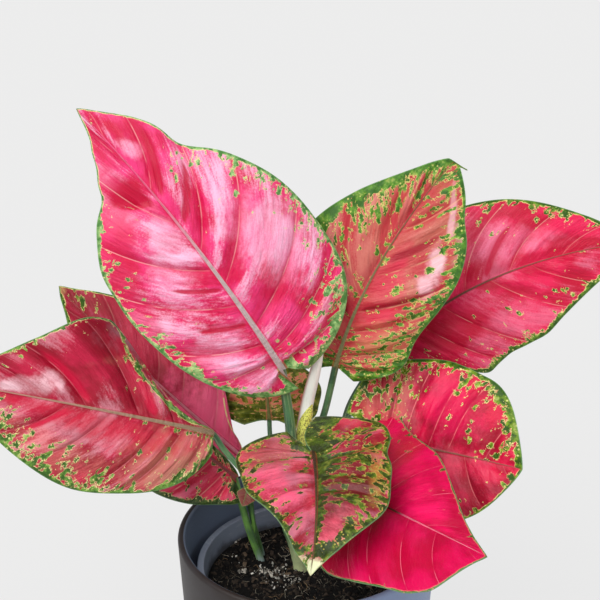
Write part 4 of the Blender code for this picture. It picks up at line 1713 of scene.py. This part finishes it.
@dataclass
class SoilBed:
    """The soil: its uneven top, and the crumbs, bark, root fibres and white grains that lie on it."""

    level: float = 0.0973
    mound: float = 0.002
    floor: float = 0.0068
    foot: float = 0.0427
    rings: int = 56
    steps: int = 180
    crumbs: int = 2400
    chips: int = 90
    fibres: int = 40
    threads: int = 260
    heaps: tuple[Heap, ...] = (
        Heap(0.0, 0.0, 0.03, 30), Heap(-0.0225, 0.003, 0.0034, 50), Heap(-0.044, 0.038, 0.0022, 14),
        Heap(-0.013, -0.002, 0.006, 60), Heap(-0.038, 0.02, 0.005, 12),
    )
    lumps: tuple[Heap, ...] = (
        Heap(-0.0225, 0.003, 0.0014, 70), Heap(-0.008, -0.006, 0.0016, 16),
        Heap(-0.015, 0.004, 0.0012, 14), Heap(-0.035, 0.005, 0.0012, 12),
    )
    coarse: float = 0.002
    coarse_grain: float = 90.0
    fine: float = 0.0009
    fine_grain: float = 420.0
    calm_rim: float = 0.96
    rim_gap: float = 0.0015
    heap_gap: float = 0.002
    fibre_gap: float = 0.001
    fibre_step: float = 0.002
    fibre_bend: float = 0.9
    fibre_lift: Pair = (-0.0004, 0.0022)
    fibre_sides: int = 5
    seed: int = 11
    hull_count: int = 14
    hull_corners: int = 12
    edge: float = field(init=False)
    draw: random.Random = field(init=False)
    hulls: list[Chunk] = field(init=False)

    def __post_init__(self) -> None:
        """Takes the soil's edge from the frame, and makes the chunks' shapes."""
        _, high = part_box("soil")
        self.edge = high.x
        self.draw = random.Random(self.seed)
        self.hulls = [Chunk.hull(seed, self.hull_corners) for seed in range(self.hull_count)]

    def height(self, x: float, y: float) -> float:
        """The height of the soil's top at a place.

        Args:
            x: the place along X.
            y: the place along Y.

        Returns:
            The height.
        """
        reach = min(1.0, math.hypot(x, y) / self.edge)
        coarse = noise.fractal(Vector((x, y, 0.3)) * self.coarse_grain, 1.0, 2.0, 2)
        fine = noise.fractal(Vector((x, y, 0.9)) * self.fine_grain, 1.0, 2.0, 3)
        free = 1.0 - smoothstep(self.calm_rim, 1.0, reach)
        rough = (self.coarse * coarse + self.fine * fine) * free
        return self.level + self.mound * (1.0 - reach**2) + rough

    def build(self) -> None:
        """Builds the bed and what lies on it."""
        self.bed()
        crumbs = [self.spot() for _ in range(self.crumbs)]
        self.scatter("soil_crumbs", crumbs, sizes=(0.0005, 0.0023), shape=(1.0, 0.9, 0.7), lift=0.0,
                     finish=LooseFinish((5, 4, 4), (60, 51, 43)))
        chips = [self.spot() for _ in range(self.chips)]
        self.scatter("bark_chips", chips, sizes=(0.0014, 0.0046), shape=(1.0, 0.45, 0.16), lift=0.0008,
                     finish=LooseFinish((10, 7, 6), (104, 88, 72)))
        grains = [self.near(heap) for heap in self.heaps for _ in range(heap.count)]
        self.scatter("white_grains", grains, sizes=(0.0003, 0.0013), shape=(1.0, 0.8, 0.6), lift=0.0009,
                     finish=LooseFinish((70, 68, 62), (214, 212, 204), 900.0, 0.8))
        lumps = [self.near(heap) for heap in self.lumps for _ in range(heap.count)]
        self.scatter("grey_lumps", lumps, sizes=(0.0007, 0.0017), shape=(1.0, 0.9, 0.6), lift=0.0014,
                     finish=LooseFinish((44, 42, 38), (206, 200, 188), 900.0, 0.8))
        self.lay_fibres("root_fibres", self.fibres, steps=(6, 12), radii=(0.0001, 0.00024),
                        finish=LooseFinish((52, 40, 28), (146, 120, 88), 900.0, 0.8))
        self.lay_fibres("pale_threads", self.threads, steps=(3, 5), radii=(0.00007, 0.00014),
                        finish=LooseFinish((80, 74, 62), (190, 182, 162), 900.0, 0.8))

    def bed(self) -> None:
        """The body of the soil, with its fine uneven top, in place of the frame's node."""
        angles = 2.0 * math.pi * np.arange(self.steps) / self.steps
        reaches = [self.edge * ring / self.rings for ring in range(self.rings + 1)]
        points = [(r * math.cos(a), r * math.sin(a), self.height(r * math.cos(a), r * math.sin(a)))
                  for r in reaches for a in angles]
        for radius in (self.foot, 0.0):
            points += [(radius * math.cos(a), radius * math.sin(a), self.floor) for a in angles]
        faces = grid_faces(self.rings + 3, self.steps, 0, True)
        form = Form(np.array(points), faces, {"tone": np.full(len(points), 0.1)})
        finish = LooseFinish((4, 3, 3), (28, 23, 19), 500.0)
        settle(form.make("soil_bed", [finish.build("soil_dark")]), "soil", "soil")

    def spot(self) -> tuple[float, float]:
        """A place on the soil, spread evenly.

        Returns:
            The place.
        """
        reach = (self.edge - self.rim_gap) * math.sqrt(self.draw.random())
        angle = self.draw.uniform(0.0, 2.0 * math.pi)
        return reach * math.cos(angle), reach * math.sin(angle)

    def near(self, heap: Heap) -> tuple[float, float]:
        """A place in a heap, kept on the soil.

        Args:
            heap: the heap.

        Returns:
            The place.
        """
        x, y = self.draw.gauss(heap.x, heap.spread), self.draw.gauss(heap.y, heap.spread)
        inside = min(1.0, (self.edge - self.heap_gap) / math.hypot(x, y))
        return x * inside, y * inside

    def scatter(self, name: str, spots: list[Pair], sizes: Pair, shape: Point, lift: float,
                finish: LooseFinish) -> None:
        """Strews chunks over the soil.

        Args:
            name: the piece's name.
            spots: the places, one for each chunk.
            sizes: the smallest and largest radius.
            shape: the stretch along each chunk's own axes.
            lift: how far a chunk's centre lies above the soil.
            finish: its look.
        """
        forms = []
        for x, y in spots:
            size = sizes[0] + (sizes[1] - sizes[0]) * self.draw.random() ** 2
            tilt = 0.5 if shape[2] < 0.5 else math.pi
            spin = Euler((self.draw.uniform(-tilt, tilt), self.draw.uniform(-tilt, tilt),
                          self.draw.uniform(-math.pi, math.pi)))
            stretch = tuple(size * share * self.draw.uniform(0.75, 1.25) for share in shape)
            chunk = self.draw.choice(self.hulls)
            forms.append(chunk.placed((x, y, self.height(x, y) + lift), stretch, spin, self.draw.random()))
        piece = joined(forms).make(name, [finish.build(name + "_finish")], smooth=False, weld=False)
        settle(piece, "soil")

    def lay_fibres(self, name: str, count: int, steps: tuple[int, int], radii: Pair,
                   finish: LooseFinish) -> None:
        """Lays thin bent fibres over the soil.

        Args:
            name: the piece's name.
            count: how many fibres there are.
            steps: the fewest and the most steps that one runs.
            radii: the thinnest and the thickest one's radius.
            finish: their look.
        """
        forms = []
        for _ in range(count):
            x, y = self.spot()
            heading = self.draw.uniform(0.0, 2.0 * math.pi)
            path = []
            for _ in range(self.draw.randint(*steps)):
                path.append((x, y, self.height(x, y) + self.draw.uniform(*self.fibre_lift)))
                heading += self.draw.uniform(-self.fibre_bend, self.fibre_bend)
                x += self.fibre_step * math.cos(heading)
                y += self.fibre_step * math.sin(heading)
                if math.hypot(x, y) > self.edge - self.fibre_gap:
                    break
            if len(path) < 3:
                continue
            line = smooth_path(path, 3)
            thin = self.draw.uniform(*radii) * (1.0 - 0.6 * np.linspace(0.0, 1.0, len(line)))
            form = sweep(line, thin, self.fibre_sides, across=(0.0, 0.0, 1.0))
            tone = np.full(len(form.points), self.draw.random())
            forms.append(Form(form.points, form.faces, {"tone": tone}))
        piece = joined(forms).make(name, [finish.build(name + "_finish")], weld=False)
        settle(piece, "soil")


# LILAC goes on as a painted highlight, partly pale pigment; RUBY is a deep pink, and painted shade where it
# lies in a fold.
LILAC = (252, 196, 226)
RUBY = (198, 0, 52)

# The finishes that several blades share.
PINK = LeafFinish(margin=(0.0013, 0.0013), spread=(0.008, 0.013), freckles=(0.8, 0.9), line=0.45,
                  line_width=0.00022)
CRIMSON = LeafFinish(
    flesh=(222, 26, 80), deep=(186, 2, 48), pale=(244, 140, 172), green=(108, 150, 36),
    dark=(46, 84, 6), ring=(224, 220, 140), vein=(240, 184, 170), rib_foot=(70, 34, 30),
    rib_tip=(150, 70, 66), margin=(0.0014, 0.002), spread=(0.008, 0.01), freckles=(0.7, 0.8),
    crest_sheen=0.4, vein_shade=0.3)
DULL = LeafFinish(
    flesh=(240, 146, 116), deep=(214, 108, 90), pale=(240, 182, 148), green=(132, 142, 40),
    dark=(76, 88, 14), ring=(196, 180, 92), vein=(176, 150, 96), rib_foot=(120, 120, 66),
    rib_tip=(110, 100, 54), margin=(0.0022, 0.0022), spread=(0.02, 0.014), blots=(0.8, 0.6),
    freckles=(0.9, 0.8), everywhere=0.6, crest_sheen=0.3, line=0.3, rough=0.45)

# Each blade's own finish.
TALL_LEFT = replace(
    PINK, calm_tip=0.85, lobe_margin=2.6, green=(160, 202, 126), dark=(70, 124, 54), everywhere=0.13,
    rib_foot=(198, 172, 176), rib_tip=(226, 74, 130), rib_turn=(0.3, 0.72), patches=(
        Patch(0.66, -0.85, 0.26, 0.34, (226, 44, 100), 1.0),
        Patch(0.4, -0.9, 0.2, 0.26, (228, 50, 106), 1.0),
        # the LILAC patches are painted highlights, partly pale pigment.
        Patch(0.48, -0.32, 0.17, 0.3, LILAC, 0.85, -0.1),
        Patch(0.34, 0.56, 0.2, 0.36, LILAC, 0.7),
        Patch(0.8, 0.42, 0.05, 0.3, LILAC, 0.8),
        Patch(0.66, -1.0, 0.07, 0.07, LILAC, 0.0, 0.4),
        Patch(0.16, -0.4, 0.1, 0.35, LILAC, 0.8, -0.1),
        Patch(0.03, -0.3, 0.06, 0.3, LILAC, 0.8, -0.1),
        # painted shade: this solid RUBY patch is the dark side of the fold near the tip.
        Patch(0.71, -0.45, 0.045, 0.42, RUBY, 0.9, -0.1, True),
        Patch(0.86, 0.75, 0.08, 0.3, RUBY, 0.7, -0.1),
        Patch(0.53, -0.78, 0.12, 0.22, RUBY, 0.8),
        Patch(0.22, -0.8, 0.15, 0.2, RUBY, 0.4, 0.08),
        Patch(0.08, 0.6, 0.1, 0.35, RUBY, 0.7, 0.1)))
TALL_RIGHT = LeafFinish(
    flesh=(190, 98, 82), deep=(182, 42, 54), pale=(232, 164, 148), crease_shade=(160, 24, 44),
    green=(100, 154, 42), dark=(46, 96, 16), ring=(212, 206, 116), vein=(232, 206, 150),
    rib_foot=(130, 126, 86), rib_tip=(118, 76, 54), margin=(0.0044, 0.002), spread=(0.02, 0.018),
    blots=(0.22, 0.1), freckles=(1.0, 1.0), everywhere=0.32, crest_sheen=0.4, vein_shade=0.4, line=0.3, blush=0.7,
    lengthwise=0.5, blot_grain=230.0, patches=(
        # painted highlight: these three solid pale patches are a gloss streak along a fold on the right
        # half.
        Patch(0.52, 0.61, 0.08, 0.12, (250, 196, 208), 0.8, -0.15, True),
        Patch(0.62, 0.69, 0.1, 0.12, (252, 214, 222), 0.8, -0.15, True),
        Patch(0.84, 0.83, 0.12, 0.06, (250, 206, 214), 0.6, -0.1, True),
        Patch(0.7, 1.0, 0.2, 0.14, (160, 206, 176), 0.9, 0.1),
        Patch(0.42, 0.25, 0.28, 0.22, (214, 34, 74), 0.9, -0.08),
        Patch(0.68, -0.15, 0.14, 0.25, (220, 60, 84), 0.6),
        Patch(0.12, 0.6, 0.22, 0.55, (200, 138, 92), 0.7, 0.05),
        Patch(0.92, -0.1, 0.07, 0.8, (96, 140, 20), 0.8, 0.05)))
FAR_RIGHT = replace(
    CRIMSON, flesh=(220, 22, 78), line=0.35, everywhere=0.26, line_width=0.0002, patches=(
        # the pale pink patches follow the painted highlight, partly pale pigment.
        Patch(0.55, -0.45, 0.25, 0.3, (248, 136, 172), 0.55),
        Patch(0.3, 0.35, 0.2, 0.25, RUBY, 0.8),
        Patch(0.45, 0.6, 0.18, 0.25, (244, 116, 150), 0.4),
        Patch(0.66, -0.12, 0.2, 0.12, RUBY, 0.8)))
NEAR_RIGHT = replace(
    CRIMSON, flesh=(208, 8, 62), deep=(150, 2, 36), shine=0.2, green=(124, 160, 14),
    dark=(42, 80, 4), margin=(0.0022, 0.0007), spread=(0.015, 0.008), blots=(0.12, -0.1),
    freckles=(0.95, 0.9), everywhere=0.12, crest_sheen=0.1, line=0.6, vein=(236, 124, 128),
    line_width=0.0002, blot_grain=170.0, patches=(
        Patch(0.14, -0.3, 0.2, 0.4, (196, 110, 120), 0.5),
        Patch(0.5, -0.45, 0.26, 0.4, (236, 10, 88), 0.6, 0.0, True),
        Patch(0.1, -0.55, 0.16, 0.5, (206, 116, 96), 0.7, 0.08)))
FRONT = replace(
    PINK, flesh=(208, 62, 84), deep=(146, 22, 42), green=(88, 118, 22), dark=(40, 54, 10),
    ring=(186, 176, 84), rib_foot=(64, 42, 30), rib_tip=(84, 76, 36), margin=(0.0016, 0.0024),
    spread=(0.014, 0.009), blots=(0.12, -0.15), freckles=(1.0, 1.0), heart=(0.34, 0.1), everywhere=0.38,
    crest_sheen=0.2, vein_shade=0.1, line=0.0, blot_grain=150.0, lengthwise=1.0, patches=(
        Patch(0.4, -0.4, 0.42, 0.55, (84, 26, 20), 0.85, 0.04, True),
        Patch(0.36, 0.6, 0.3, 0.4, (246, 84, 124), 0.75, -0.06),
        Patch(0.08, -0.35, 0.22, 0.5, (140, 14, 36), 0.9, 0.06),
        Patch(0.66, -0.4, 0.15, 0.35, (236, 92, 116), 0.8, -0.2),
        Patch(0.3, -0.75, 0.26, 0.16, (182, 150, 52), 0.55, 0.02),
        Patch(0.05, 0.45, 0.12, 0.6, (160, 84, 80), 0.7, 0.04),
        Patch(0.95, 0.0, 0.1, 2.5, (222, 230, 186), 1.0, -0.8, True)))
FRONT_RIGHT = replace(
    CRIMSON, flesh=(216, 0, 80), deep=(182, 0, 56), pale=(240, 70, 130), shine=0.2,
    ring=(206, 130, 100), green=(70, 110, 40), vein=(244, 130, 152), rib_foot=(84, 14, 24),
    rib_tip=(244, 120, 150), rib_turn=(0.36, 0.46), margin=(0.0005, 0.0006), spread=(0.008, 0.006),
    blots=(-0.3, -0.4), freckles=(0.35, 0.1), everywhere=0.03, crest_sheen=0.12, vein_shade=0.2, line=0.6,
    line_width=0.00012, mottle_and_shade=0.12, crinkle=0.0007, patches=(
        Patch(0.45, 0.5, 0.5, 0.45, (190, 4, 48), 0.6),
        Patch(0.1, -0.5, 0.2, 0.5, (210, 60, 60), 0.4, 0.14),
        Patch(0.5, -0.4, 0.3, 0.4, (250, 20, 100), 0.6)))
FAR_LEFT = replace(
    PINK, flesh=(192, 26, 66), deep=(150, 8, 38), pale=(246, 184, 200), vein=(226, 130, 140),
    line_width=0.0002, line=0.4, rib_foot=(150, 122, 100), rib_tip=(182, 130, 118),
    margin=(0.0017, 0.0009), spread=(0.019, 0.008), blots=(0.0, -0.2), freckles=(1.0, 0.6), everywhere=0.1,
    crest_sheen=0.4, patches=(
        Patch(0.06, -0.7, 0.14, 0.35, (150, 100, 84), 0.9, 0.1, True),
        Patch(0.24, 0.52, 0.26, 0.07, (172, 120, 96), 0.3, 0.1),
        # painted highlight: a pale sheen ridge.
        Patch(0.7, 0.3, 0.16, 0.3, (250, 210, 220), 0.9, -0.1),
        Patch(0.13, -0.52, 0.2, 0.55, (190, 122, 104), 1.0, -0.06),
        # painted shade: the dull band where the curled right half turns away from the light.
        Patch(0.26, 0.85, 0.24, 0.28, (168, 110, 122), 0.9, -0.12, True),
        Patch(0.5, -0.2, 0.45, 0.2, (196, 16, 54), 0.8, -0.1),
        Patch(0.55, -0.7, 0.25, 0.3, (232, 150, 130), 0.35, 0.04),
        Patch(0.85, -0.4, 0.14, 0.4, (240, 170, 190), 0.7)))
BACK_LEFT = replace(
    CRIMSON, flesh=(184, 36, 66), deep=(146, 16, 42), pale=(206, 120, 150),
    rib_foot=(214, 120, 144), line=0.2, margin=(0.0014, 0.0006), freckles=(0.3, 0.2),
    blots=(-0.6, -0.6), patches=(
        Patch(0.08, 0.0, 0.36, 4.0, (244, 92, 136), 0.9, -0.8, True),
        Patch(0.88, 0.3, 0.14, 1.0, (142, 46, 50), 0.8, 0.15),
        Patch(0.99, 0.0, 0.04, 2.0, (206, 168, 110), 0.9, -0.2)))
LOW_LEFT = replace(
    CRIMSON, flesh=(236, 66, 98), deep=(204, 40, 74), freckles=(0.9, 0.8), green=(92, 118, 50),
    dark=(40, 62, 20), rib_foot=(150, 70, 76), margin=(0.0026, 0.0018), spread=(0.014, 0.01))
SMALL = replace(
    DULL, flesh=(150, 68, 62), deep=(118, 50, 46), ring=(140, 80, 66), freckles=(0.0, 0.0),
    blots=(-1.0, -1.0), margin=(0.0002, 0.0002))

LEAVES = (
    Leaf("blade_tall_left", "leaf_pink", TALL_LEFT,
         (-0.013, 0.0, 0.228), (-0.0605, 0.0, 0.3035), (-0.115, 0.03, 0.358),
         faces=(0.1, -0.9, 0.4), left=(0.029, 0.0455, 0.048, 0.0332, 0.0062),
         right=(0.048, 0.059, 0.053, 0.0345, 0.0145), lobes=(0.016, 0.0098), sinus=(0.001, 0.005),
         fold=(4.0, 4.0), curl=(-20.0, -20.0), tip_curl=(-20.0, -20.0), forward=1.5,
         stalk=((-0.012, 0.001, 0.14), (-0.0085, 0.004, 0.18), (-0.011, 0.005, 0.208)),
         stalk_radius=0.0026, wave=(0.0025, 1.5, 0.15), rib=0.0018, quilt=0.003, groove=0.0012, pleat=0.0008,
         creases=(Crease(Side.LEFT, 5.4, 0.0045, 0.35, 1.1, 0.12, -0.75),
                  Crease(Side.RIGHT, 5.34, 0.0034, 0.12, 1.1, 0.6, -0.05),
                  Crease(Side.RIGHT, 4.95, 0.0026, 0.1, 1.0, 0.5, -0.4),
                  Crease(Side.LEFT, 3.4, 0.0012, 0.05, 0.5), Crease(Side.LEFT, 2.6, 0.0012, 0.05, 0.5)),
         ripples=(Ripple(Side.RIGHT, 0.735, 0.06, -0.004, 0.15), Ripple(Side.LEFT, 0.0, 0.1, slide=0.005),
                  Ripple(Side.LEFT, 0.76, 0.03, -0.002, 0.12), Ripple(Side.LEFT, 0.6, 0.07, 0.0, -0.045),
                  Ripple(Side.LEFT, 0.88, 0.03, 0.0, -0.16))),
    Leaf("blade_tall_right", "leaf_salmon", TALL_RIGHT,
         (0.015, 0.018, 0.22), (0.037, 0.028, 0.274), (0.077, 0.05, 0.325),
         faces=(0.0, -0.9, 0.4), left=(0.022, 0.0372, 0.0428, 0.0308, 0.0118),
         right=(0.03, 0.0355, 0.0395, 0.0375, 0.02), lobes=(0.004, 0.0065), fold=(14.0, 14.0), forward=1.75,
         stalk=((-0.009, 0.006, 0.15), (0.0002, 0.015, 0.17), (0.0088, 0.022, 0.188)),
         stalk_radius=0.0019, hook=(0.006, 0.0, -0.006), hook_start=0.982, drip=0.0, rib=0.0013,
         quilt=0.0026, groove=0.001, pleat=0.0008, ripples=(Ripple(Side.RIGHT, 0.86, 0.05, -0.002, 0.08),),
         creases=(Crease(Side.RIGHT, 3.6, 0.0016, 0.1, 0.9), Crease(Side.LEFT, 3.2, 0.0014, 0.1, 0.7),
                  Crease(Side.RIGHT, 4.8, 0.0012, 0.08, 0.9))),
    Leaf("blade_far_right", "leaf_crimson", FAR_RIGHT,
         (0.044, 0.048, 0.215), (0.103, 0.062, 0.252), (0.184, 0.08, 0.266),
         faces=(0.0, -0.85, 0.5), left=(0.0285, 0.044, 0.0445, 0.034, 0.0135),
         right=(0.027, 0.042, 0.041, 0.032, 0.0135), lobes=(0.004, 0.004), stalk_radius=0.0024,
         stalk=((0.021, 0.022, 0.14), (0.0205, 0.036, 0.162), (0.0235, 0.044, 0.18),
                (0.034, 0.05, 0.198)),
         quilt=0.0022, groove=0.0009, pleat=0.0007,
         ripples=(Ripple(Side.RIGHT, 0.62, 0.06, 0.0, -0.05), Ripple(Side.RIGHT, 0.45, 0.05, 0.0, 0.03),
                  Ripple(Side.RIGHT, 0.31, 0.05, 0.0, -0.07)),
         creases=(Crease(Side.LEFT, 4.4, 0.0014, 0.08, 0.8), Crease(Side.LEFT, 3.0, 0.001, 0.08, 0.7))),
    Leaf("blade_right", "leaf_crimson", NEAR_RIGHT,
         (0.036, 0.01, 0.18), (0.072, -0.002, 0.18), (0.111, -0.02, 0.18),
         faces=(0.1, -0.86, 0.5), left=(0.034, 0.0455, 0.0485, 0.044, 0.028),
         right=(0.03, 0.04, 0.041, 0.035, 0.019), lobes=(0.018, 0.01), fold=(12.0, 6.0), drip=0.0,
         stalk=((0.021, 0.021, 0.138), (0.026, 0.018, 0.158), (0.031, 0.015, 0.171)), pleat=0.0006),
    Leaf("blade_front", "leaf_pink", FRONT,
         (0.003, -0.03, 0.196), (0.004, -0.075, 0.191), (0.001, -0.105, 0.174),
         faces=(0.0, -0.4, 0.9), left=(0.031, 0.04, 0.0375, 0.0315, 0.0095),
         right=(0.035, 0.0385, 0.0325, 0.0175, 0.0075), lobes=(0.033, 0.022), sinus=(0.014, 0.01),
         fold=(20.0, 8.0), rib=0.0009, drip=0.45, wave=(0.0025, 1.5, 0.0), quilt=0.0018, groove=0.0008,
         stalk=((-0.012, 0.0, 0.146), (-0.006, -0.01, 0.168), (0.001, -0.021, 0.184)),
         ripples=(Ripple(Side.LEFT, 0.0, 0.1, 0.0, 0.0, 0.009, 0.0072),
                  Ripple(Side.LEFT, 0.37, 0.05, 0.0, 0.07))),
    Leaf("blade_front_right", "leaf_crimson", FRONT_RIGHT,
         (0.019, -0.026, 0.173), (0.052, -0.068, 0.18), (0.083, -0.104, 0.184),
         faces=(0.1, -0.5, 0.85), left=(0.0475, 0.0465, 0.0395, 0.0225, 0.0062),
         right=(0.03, 0.0455, 0.044, 0.0389, 0.0249), lobes=(0.038, 0.004), fold=(20.0, 5.0), forward=1.7,
         stalk=((0.02, 0.018, 0.125), (0.018, 0.0, 0.144), (0.017, -0.016, 0.16)), rib=0.0008,
         quilt=0.0012, groove=0.0004, pleat=0.0002, ripples=(Ripple(Side.RIGHT, 0.92, 0.045, 0.0, -0.22),)),
    Leaf("blade_left", "leaf_pink", FAR_LEFT,
         (-0.049, 0.0, 0.19), (-0.117, -0.01, 0.212), (-0.189, -0.02, 0.233),
         faces=(-0.05, -0.8, 0.6), left=(0.028, 0.0402, 0.0425, 0.0303, 0.011),
         right=(0.004, 0.021, 0.046, 0.029, 0.009), lobes=(0.003, 0.001), curl=(-25.0, -130.0),
         tip_curl=(-25.0, 0.0), stalk_radius=0.0017, rib=0.0014, quilt=0.0026, groove=0.0012, pleat=0.0009,
         stalk=((-0.012, 0.001, 0.138), (-0.023, 0.0, 0.156), (-0.034, 0.0, 0.167),
                (-0.044, 0.003, 0.178)), ripples=(Ripple(Side.RIGHT, 0.42, 0.05, 0.0, -0.14),),
         creases=(Crease(Side.RIGHT, 4.4, 0.0016, 0.1), Crease(Side.RIGHT, 3.2, 0.0014, 0.1),
                  Crease(Side.LEFT, 4.9, 0.001, 0.08, 0.8))),
    Leaf("blade_back_left", "leaf_crimson", BACK_LEFT,
         (-0.036, 0.03, 0.158), (-0.09, 0.058, 0.196), (-0.139, 0.075, 0.241),
         faces=(0.1, -0.8, 0.55), left=(0.01, 0.03, 0.036, 0.026, 0.008),
         right=(0.008, 0.029, 0.036, 0.0278, 0.011), lobes=(0.0, 0.0), hook=(0.001, 0.0, 0.0),
         hook_start=0.95, stalk_radius=0.0015, stalk_shade=0.8,
         stalk=((-0.024, 0.0225, 0.088), (-0.025, 0.022, 0.098), (-0.03, 0.0205, 0.122),
                (-0.0335, 0.024, 0.142))),
    Leaf("blade_low_left", "leaf_crimson", LOW_LEFT,
         (-0.039, 0.016, 0.153), (-0.065, 0.022, 0.173), (-0.095, 0.032, 0.19),
         faces=(-0.1, -0.8, 0.6), left=(0.0145, 0.027, 0.0335, 0.0315, 0.016),
         right=(0.004, 0.006, 0.008, 0.008, 0.004), lobes=(0.014, 0.002), stalk_radius=0.002,
         stalk=((-0.024, 0.0155, 0.088), (-0.0252, 0.0158, 0.097), (-0.0315, 0.015, 0.118),
                (-0.0365, 0.0165, 0.138))),
    Leaf("blade_back", "leaf_dull", DULL,
         (-0.021, 0.047, 0.172), (-0.023, 0.064, 0.186), (-0.026, 0.085, 0.204),
         faces=(0.0, -0.8, 0.6), left=(0.019, 0.0275, 0.029, 0.021, 0.008),
         right=(0.022, 0.029, 0.0305, 0.022, 0.008), lobes=(0.005, 0.0095), sinus=(0.05, 0.03),
         stalk=((-0.011, 0.003, 0.13), (-0.015, 0.023, 0.147), (-0.02, 0.039, 0.162)),
         stalk_radius=0.0014),
    Leaf("blade_small", "leaf_dull", SMALL,
         (-0.0325, 0.009, 0.15), (-0.0336, 0.006, 0.1462), (-0.0352, 0.003, 0.1428),
         faces=(-0.1, -0.95, 0.3), left=(0.006, 0.008, 0.0062, 0.004, 0.002),
         right=(0.003, 0.005, 0.0045, 0.003, 0.0012), lobes=(0.001, 0.001), stalk_radius=0.0011,
         stalk=((-0.0285, 0.018, 0.108), (-0.03, 0.017, 0.13), (-0.031, 0.013, 0.147)),
         wave=(0.0003, 1.0, 0.0), rib=0.0002, fine=0.15, rows=6, columns=12),
)

SHOOTS = (
    Shoot("shoot_front",
          ((-0.004, 0.008, 0.07, 0.0042), (-0.0035, 0.008, 0.097, 0.0039), (-0.0062, 0.004, 0.116, 0.0036),
           (-0.011, 0.001, 0.136, 0.0036), (-0.011, 0.003, 0.152, 0.0034)),
          ("blade_tall_left", "blade_tall_right", "blade_front", "blade_left", "blade_back"),
          sheath=((-0.011, 0.004, 0.148, 0.003), (-0.0055, 0.0085, 0.17, 0.0031),
                  (-0.002, 0.01, 0.187, 0.0036), (0.0003, 0.0112, 0.196, 0.0028),
                  (0.0024, 0.0125, 0.204, 0.0006))),
    Shoot("shoot_left", ((-0.025, 0.019, 0.075, 0.004), (-0.025, 0.019, 0.0945, 0.003)),
          ("blade_back_left", "blade_low_left", "blade_small"), swell=0.1,
          finish=StalkFinish(green=(126, 178, 84), shade=(74, 110, 66), foot=(158, 178, 176),
                             foot_reach=(0.096, 0.108))),
    Shoot("shoot_right",
          ((0.018, 0.024, 0.072, 0.004), (0.018, 0.024, 0.097, 0.0039), (0.019, 0.022, 0.12, 0.0037),
           (0.021, 0.021, 0.142, 0.0034)),
          ("blade_far_right", "blade_right", "blade_front_right")),
)

NEW_LEAF = NewLeaf(((-0.0025, 0.0115, 0.186), (0.0005, 0.0135, 0.203), (0.0048, 0.0125, 0.223),
                    (0.009, 0.011, 0.246)))


@dataclass(frozen=True)
class Lamp:
    """A far soft light: where it shines from, how wide it looks in degrees, its strength and colour."""

    name: str
    place: Point
    spread: float
    strength: float
    colour: Point = (1.0, 1.0, 1.0)


@dataclass
class Studio:
    """The pale floor, the soft light and the camera at the photograph's viewing angle."""

    floor_width: float = 24.0
    floor_drop: float = 0.0005
    lens: float = 90.0
    sensor: float = 36.0
    camera_place: Point = (-0.0038, -0.6864, 0.5843)
    camera_down: float = 24.8
    aim: Point = (0.0, 0.0, 0.22)
    sky: float = 0.33
    lamps: tuple[Lamp, ...] = (
        Lamp("key", (-0.6, -0.85, 1.5), 55.0, 3.1, (1.0, 0.985, 0.965)),
        Lamp("fill", (1.4, -0.35, 1.1), 60.0, 0.8, (0.95, 0.97, 1.0)),
    )

    def build(self) -> None:
        """Sets up the studio."""
        scene = bpy.context.scene
        scene.view_settings.view_transform = "Standard"
        world = bpy.data.worlds.new("studio")
        world.use_nodes = True
        back = world.node_tree.nodes["Background"]
        back.inputs["Color"].default_value = (self.sky, self.sky, self.sky, 1.0)
        scene.world = world
        for lamp in self.lamps:
            self.hang(lamp)
        half = self.floor_width / 2.0
        corners = np.array([(-half, -half, 0.0), (half, -half, 0.0), (half, half, 0.0), (-half, half, 0.0)])
        floor = Form(corners, [(0, 1, 2, 3)], {}).make("floor", [StudioFinish().build("floor_pale")])
        floor.location.z = -self.floor_drop
        lens = bpy.data.cameras.new("camera")
        lens.lens = self.lens
        lens.sensor_width = self.sensor
        camera = bpy.data.objects.new("camera", lens)
        camera.location = self.camera_place
        camera.rotation_euler = (math.radians(90.0 - self.camera_down), 0.0, 0.0)
        scene.collection.objects.link(camera)
        scene.camera = camera

    def hang(self, lamp: Lamp) -> None:
        """Hangs a lamp, turned to the plant.

        Args:
            lamp: the lamp.
        """
        light = bpy.data.lights.new(lamp.name, "SUN")
        light.angle = math.radians(lamp.spread)
        light.energy = lamp.strength
        light.color = lamp.colour
        made = bpy.data.objects.new(lamp.name, light)
        made.location = lamp.place
        made.rotation_euler = (Vector(self.aim) - Vector(lamp.place)).to_track_quat("-Z", "Y").to_euler()
        bpy.context.scene.collection.objects.link(made)


def main() -> None:
    """Builds every piece in order."""
    logging.basicConfig(level=logging.INFO, format="%(message)s")
    Studio().build()
    CoverPot().build()
    NurseryPot().build()
    SoilBed().build()
    leaves = {leaf.node: leaf for leaf in LEAVES}
    for shoot in SHOOTS:
        shoot.build(leaves)
    for seed, leaf in enumerate(LEAVES):
        Blade(leaf, seed).build()
    NEW_LEAF.build()


if __name__ == "__main__":
    main()
